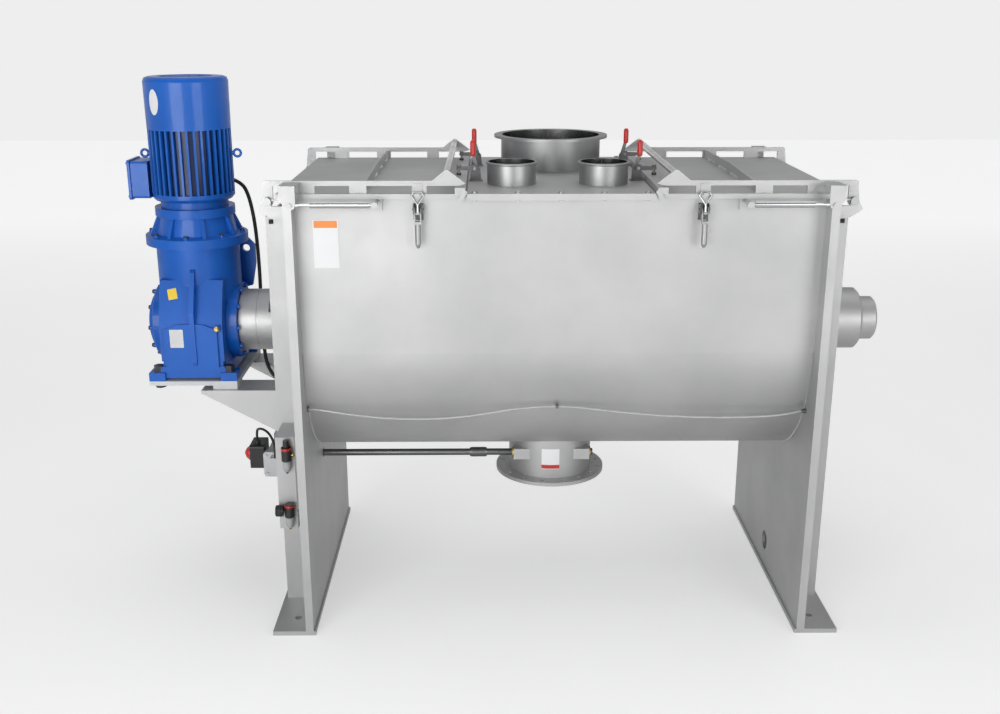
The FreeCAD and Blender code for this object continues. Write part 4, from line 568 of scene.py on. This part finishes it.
plastic = paint("plastic_black", (0.020, 0.020, 0.022), (0.014, 0.014, 0.015), 0.42, 0.0, 0.25, 400, 0.3)
fan_blades = 9
fan = bmesh.new()
disc(fan, (motor_x, 0, 1.600), (0, 0, 1), 0.030, 0.060, 32, 0.003)
disc(fan, (motor_x, 0, 1.585), (0, 0, 1), 0.105, 0.004, 48, 0.001)
for i in range(fan_blades):
    blade = bmesh.new()
    slab(blade, (0.028, -0.0015, 1.587), (0.103, 0.0015, 1.635), 0.0008)
    blade_turn = Matrix.Rotation(2 * math.pi * i / fan_blades, 3, "Z")
    bmesh.ops.rotate(blade, cent=(0, 0, 0), matrix=blade_turn, verts=blade.verts)
    bmesh.ops.translate(blade, verts=blade.verts, vec=(motor_x, 0, 0))
    blade_mesh = bpy.data.meshes.new("blade")
    blade.to_mesh(blade_mesh)
    blade.free()
    fan.from_mesh(blade_mesh)
    bpy.data.meshes.remove(blade_mesh)
finished("cooling_fan", fan, [plastic], "frame")

# Valve drive: a cast aluminium actuator that turns the long tube, and a moulded black limit switch box on it.
# Under the box's clear dome sits a red indicator disc with a white bar.
aluminium = steel("aluminium_cast", (0.42, 0.43, 0.44), (0.52, 0.53, 0.54), 0.42, 0.55, 0.6, edge=0.7)
dome_zone = ("X", -1.0085, -0.9846)
domed = zoned("switch_domed", (0.020, 0.020, 0.022), (0.60, 0.025, 0.020), [dome_zone], 0.42, 0.12)
dial_white = paint("dial_white", (0.85, 0.85, 0.84), (0.78, 0.78, 0.77), 0.25, 0.5, 0.1)
dress(aluminium, "valve_actuator")
dress(domed, "limit_switch_box")
indicator = bmesh.new()
disc(indicator, (-0.9868, -0.092, 0.462), (1, 0, 0), 0.0272, 0.0040, 40, 0.0008, 0)
slab(indicator, (-0.9952, -0.1085, 0.4555), (-0.9885, -0.0755, 0.4685), 0.0012, 1)
finished("valve_indicator", indicator, [clear_red, dial_white], "frame")

# Air supply: two filter regulators of black moulded plastic with pale bowls, on a satin stainless panel
# screwed to the left column. Each has a red ring; the lower one has a round gauge and turned brass ports.
# The clip, fitting and grommet of the air tube are zinc-plated.
bowl_zones = [("Z", 0.5205, 0.5560), ("Z", 0.3365, 0.3720)]
bowls = zoned("regulator_bowls", (0.020, 0.020, 0.022), (0.40, 0.41, 0.42), bowl_zones, 0.42, 0.15)
dress(satin, "air_panel")
dress(bowls, "filter_regulators")
dress(zinc, "tube_fittings")
bowl_x, bowl_y = -0.815, -0.398
rings = bmesh.new()
disc(rings, (bowl_x, bowl_y, 0.5945), (0, 0, 1), 0.0155, 0.0090, 40, 0.0010)
disc(rings, (bowl_x, bowl_y, 0.4085), (0, 0, 1), 0.0155, 0.0070, 40, 0.0010)
finished("regulator_rings", rings, [clear_red], "frame")

gauge = bmesh.new()
disc(gauge, (-0.8450, bowl_y, 0.392), (1, 0, 0), 0.0178, 0.0180, 40, 0.0012, 0)
disc(gauge, (-0.8562, bowl_y, 0.392), (1, 0, 0), 0.0150, 0.0012, 40, 0.0003, 1)
finished("regulator_gauge", gauge, [plastic, dial_white], "frame")

ports = bmesh.new()
disc(ports, (-0.796, bowl_y, 0.575), (1, 0, 0), 0.0060, 0.0120, 6, 0.0006)
disc(ports, (bowl_x, bowl_y, 0.3365), (0, 0, 1), 0.0046, 0.0085, 24, 0.0006)
finished("regulator_fittings", ports, [brass], "frame")

# Cords: motor cable and switch cable with extruded rubber sheaths, and an extruded clear air tube along the
# trough. Each leaves its gland straight and goes back into the machine at its far end. The points are in
# millimetres, and are the same as the model's.


def route_curve(name, points, diameter, material, node):
    curve = bpy.data.curves.new(name, "CURVE")
    curve.dimensions = "3D"
    curve.bevel_depth = diameter / 2
    curve.bevel_resolution = 6
    curve.resolution_u = 24
    curve.use_fill_caps = True
    spline = curve.splines.new("NURBS")
    spline.points.add(len(points) - 1)
    for p, co in zip(spline.points, points):
        p.co = (co[0] / 1000, co[1] / 1000, co[2] / 1000, 1)
    spline.order_u = 3
    spline.use_endpoint_u = True
    curve.materials.append(material)
    obj = bpy.data.objects.new(name, curve)
    bpy.context.collection.objects.link(obj)
    line = bpy.data.objects.new(name + "_line", curve.copy())
    line.data.bevel_depth = 0
    line.data.use_fill_caps = False
    bpy.context.collection.objects.link(line)
    bpy.context.view_layer.update()
    mesh = line.evaluated_get(bpy.context.evaluated_depsgraph_get()).to_mesh()
    bpy.data.objects.remove(line)
    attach(obj, "frame")
    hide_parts(node)


tube_clear, tube_tree, tube_shader = nodes_of("tube_clear")
tube_tone = blend(tube_tree, link_noise(tube_tree, 40, 3, own_place(tube_tree)),
                  (0.50, 0.505, 0.51), (0.62, 0.625, 0.63))
tube_tree.links.new(tube_tone, tube_shader.inputs["Base Color"])
tube_shader.inputs["Roughness"].default_value = 0.16
tube_shader.inputs["Transmission Weight"].default_value = 0.25
tube_shader.inputs["Coat Weight"].default_value = 0.5
dress(rubber, "motor_cable", "switch_cable")
dress(tube_clear, "air_tube")

motor_route = [(-1032.6, 97.2, 1334.2), (-1008.0, 121.0, 1320.0), (-991.0, 134.0, 1280.0),
               (-978.0, 138.0, 1200.0), (-972.0, 135.0, 1110.0), (-969.0, 128.0, 1010.0),
               (-970.0, 122.0, 910.0), (-968.0, 116.0, 820.0), (-962.0, 94.0, 740.0),
               (-945.0, 72.0, 692.0), (-908.0, 60.0, 656.0), (-865.5, 60.0, 652.5)]
air_route = [(-749.5, -372.0, 712.0), (-722.0, -372.4, 710.5), (-680.0, -373.0, 704.0),
             (-630.0, -373.0, 695.5), (-570.0, -372.5, 687.0), (-500.0, -372.0, 680.5),
             (-420.0, -371.0, 678.0), (-340.0, -371.0, 680.0), (-265.0, -371.5, 687.0),
             (-190.0, -372.0, 700.0), (-120.0, -372.5, 711.0), (-60.0, -373.0, 717.0),
             (0.0, -373.4, 718.5), (60.0, -373.0, 715.5), (130.0, -372.5, 706.5),
             (205.0, -372.0, 697.0), (285.0, -371.5, 689.5), (365.0, -371.0, 684.0),
             (445.0, -371.0, 681.0), (525.0, -371.5, 680.5), (600.0, -372.0, 682.5),
             (660.0, -372.5, 686.5), (705.0, -372.4, 693.0), (741.0, -372.0, 701.0)]
switch_route = [(-962.0, -112.0, 516.2), (-962.0, -112.0, 546.0), (-950.0, -134.0, 562.0),
                (-928.0, -158.0, 568.0), (-904.0, -184.0, 560.0), (-888.0, -206.0, 536.0),
                (-886.0, -213.0, 514.0), (-886.0, -213.0, 496.2)]
route_curve("motor_cable_sheath", motor_route, 0.012, rubber, "motor_cable")
route_curve("air_tube_run", air_route, 0.006, tube_clear, "air_tube")
route_curve("switch_cable_sheath", switch_route, 0.008, rubber, "switch_cable")

# Floor: a plain pale matt floor, poured in one and slightly clouded.
# Towards the back it is lifted a little for the camera, so that it runs out into the pale room.
floor_mesh = bpy.data.meshes.new("floor")
floor_bm = bmesh.new()
slab(floor_bm, (-12, -9, -0.02), (12, 14, -0.0005))
floor_bm.to_mesh(floor_mesh)
floor_bm.free()
floor = bpy.data.objects.new("floor", floor_mesh)
bpy.context.collection.objects.link(floor)
floor_material, floor_tree, floor_shader = nodes_of("floor_pale")
floor_place = own_place(floor_tree)
floor_tone = blend(floor_tree, link_noise(floor_tree, 1.5, 6, floor_place),
                   (0.70, 0.70, 0.70), (0.76, 0.76, 0.76))
floor_tree.links.new(floor_tone, floor_shader.inputs["Base Color"])
floor_shader.inputs["Roughness"].default_value = 0.75
floor_shader.inputs["Specular IOR Level"].default_value = 0.15
glossy_lift = 0.14
back_edge, near_lift, far_lift = 7, 0.36, 0.66
floor_seen = floor_tree.nodes.new("ShaderNodeLightPath")
floor_axes = floor_tree.nodes.new("ShaderNodeSeparateXYZ")
floor_tree.links.new(floor_place, floor_axes.inputs["Vector"])
floor_lift = floor_tree.nodes.new("ShaderNodeMath")
floor_lift.operation = "MULTIPLY_ADD"
floor_tree.links.new(floor_seen.outputs["Is Camera Ray"], floor_lift.inputs[0])
floor_tree.links.new(span(floor_tree, floor_axes.outputs["Y"], 0, back_edge, near_lift, far_lift),
                     floor_lift.inputs[1])
floor_tree.links.new(reckon(floor_tree, "MULTIPLY", floor_seen.outputs["Is Glossy Ray"], glossy_lift),
                     floor_lift.inputs[2])
floor_shader.inputs["Emission Color"].default_value = (1, 1, 1, 1)
floor_tree.links.new(floor_lift.outputs[0], floor_shader.inputs["Emission Strength"])
floor_mesh.materials.append(floor_material)

# Room: two large soft panels in front of the machine and one under the roof, in a pale even room.
# The room is brightest at the height of the horizon, and the camera sees it as one plain grey.
for label, place, size, power, aim in (
        ("key", (-2.2, -4.7, 1.7), (3.0, 2.6), 122, (0, 0, 0.8)),
        ("fill", (2.9, -4.4, 1.7), (2.6, 2.2), 72, (0, 0, 0.8)),
        ("roof", (0.0, 0.4, 4.6), (5.0, 3.5), 62, (0, 0, 0))):
    light_data = bpy.data.lights.new(label, "AREA")
    light_data.shape = "RECTANGLE"
    light_data.size, light_data.size_y = size
    light_data.energy = power
    light = bpy.data.objects.new(label, light_data)
    bpy.context.collection.objects.link(light)
    light.location = place
    light.rotation_mode = "QUATERNION"
    light.rotation_quaternion = (Vector(aim) - Vector(place)).to_track_quat("-Z", "Y")

scene = bpy.context.scene
world = bpy.data.worlds.new("room")
scene.world = world
world.use_nodes = True
world_tree = world.node_tree
backdrop = world_tree.nodes["Background"]
around = world_tree.nodes.new("ShaderNodeTexCoord")
around_axes = world_tree.nodes.new("ShaderNodeSeparateXYZ")
world_tree.links.new(around.outputs["Generated"], around_axes.inputs["Vector"])
ramp = world_tree.nodes.new("ShaderNodeValToRGB")
ramp.color_ramp.elements[0].position = 0.30
ramp.color_ramp.elements[0].color = (0.30, 0.30, 0.30, 1)
ramp.color_ramp.elements[1].position = 0.50
ramp.color_ramp.elements[1].color = (0.86, 0.86, 0.86, 1)
for position, value in ((0.58, 0.62), (0.68, 0.34), (0.90, 0.28)):
    stop = ramp.color_ramp.elements.new(position)
    stop.color = (value, value, value * 1.01, 1)
world_tree.links.new(span(world_tree, around_axes.outputs["Z"], -1, 1, 0, 1), ramp.inputs["Fac"])
seen = world_tree.nodes.new("ShaderNodeLightPath")
room_tone = blend(world_tree, seen.outputs["Is Camera Ray"], ramp.outputs["Color"], (0.90, 0.90, 0.90))
world_tree.links.new(room_tone, backdrop.inputs["Color"])
backdrop.inputs["Strength"].default_value = 0.95

# Camera: it stands where the photograph was taken, at eye height in front of the machine's middle.
# It looks slightly down and a little to the right.
scene.render.resolution_x = 1000
scene.render.resolution_y = 714
camera_data = bpy.data.cameras.new("camera")
camera_data.sensor_width = 36
camera_data.lens = 40.64
camera = bpy.data.objects.new("camera", camera_data)
bpy.context.collection.objects.link(camera)
yaw = 0.0101
pitch = 0.2944
look = Vector((math.sin(yaw) * math.cos(pitch), math.cos(yaw) * math.cos(pitch), -math.sin(pitch)))
camera.location = (-0.20388, -3.57017, 1.84311)
camera.rotation_mode = "QUATERNION"
camera.rotation_quaternion = look.to_track_quat("-Z", "Y")
scene.camera = camera
scene.view_settings.view_transform = "Standard"
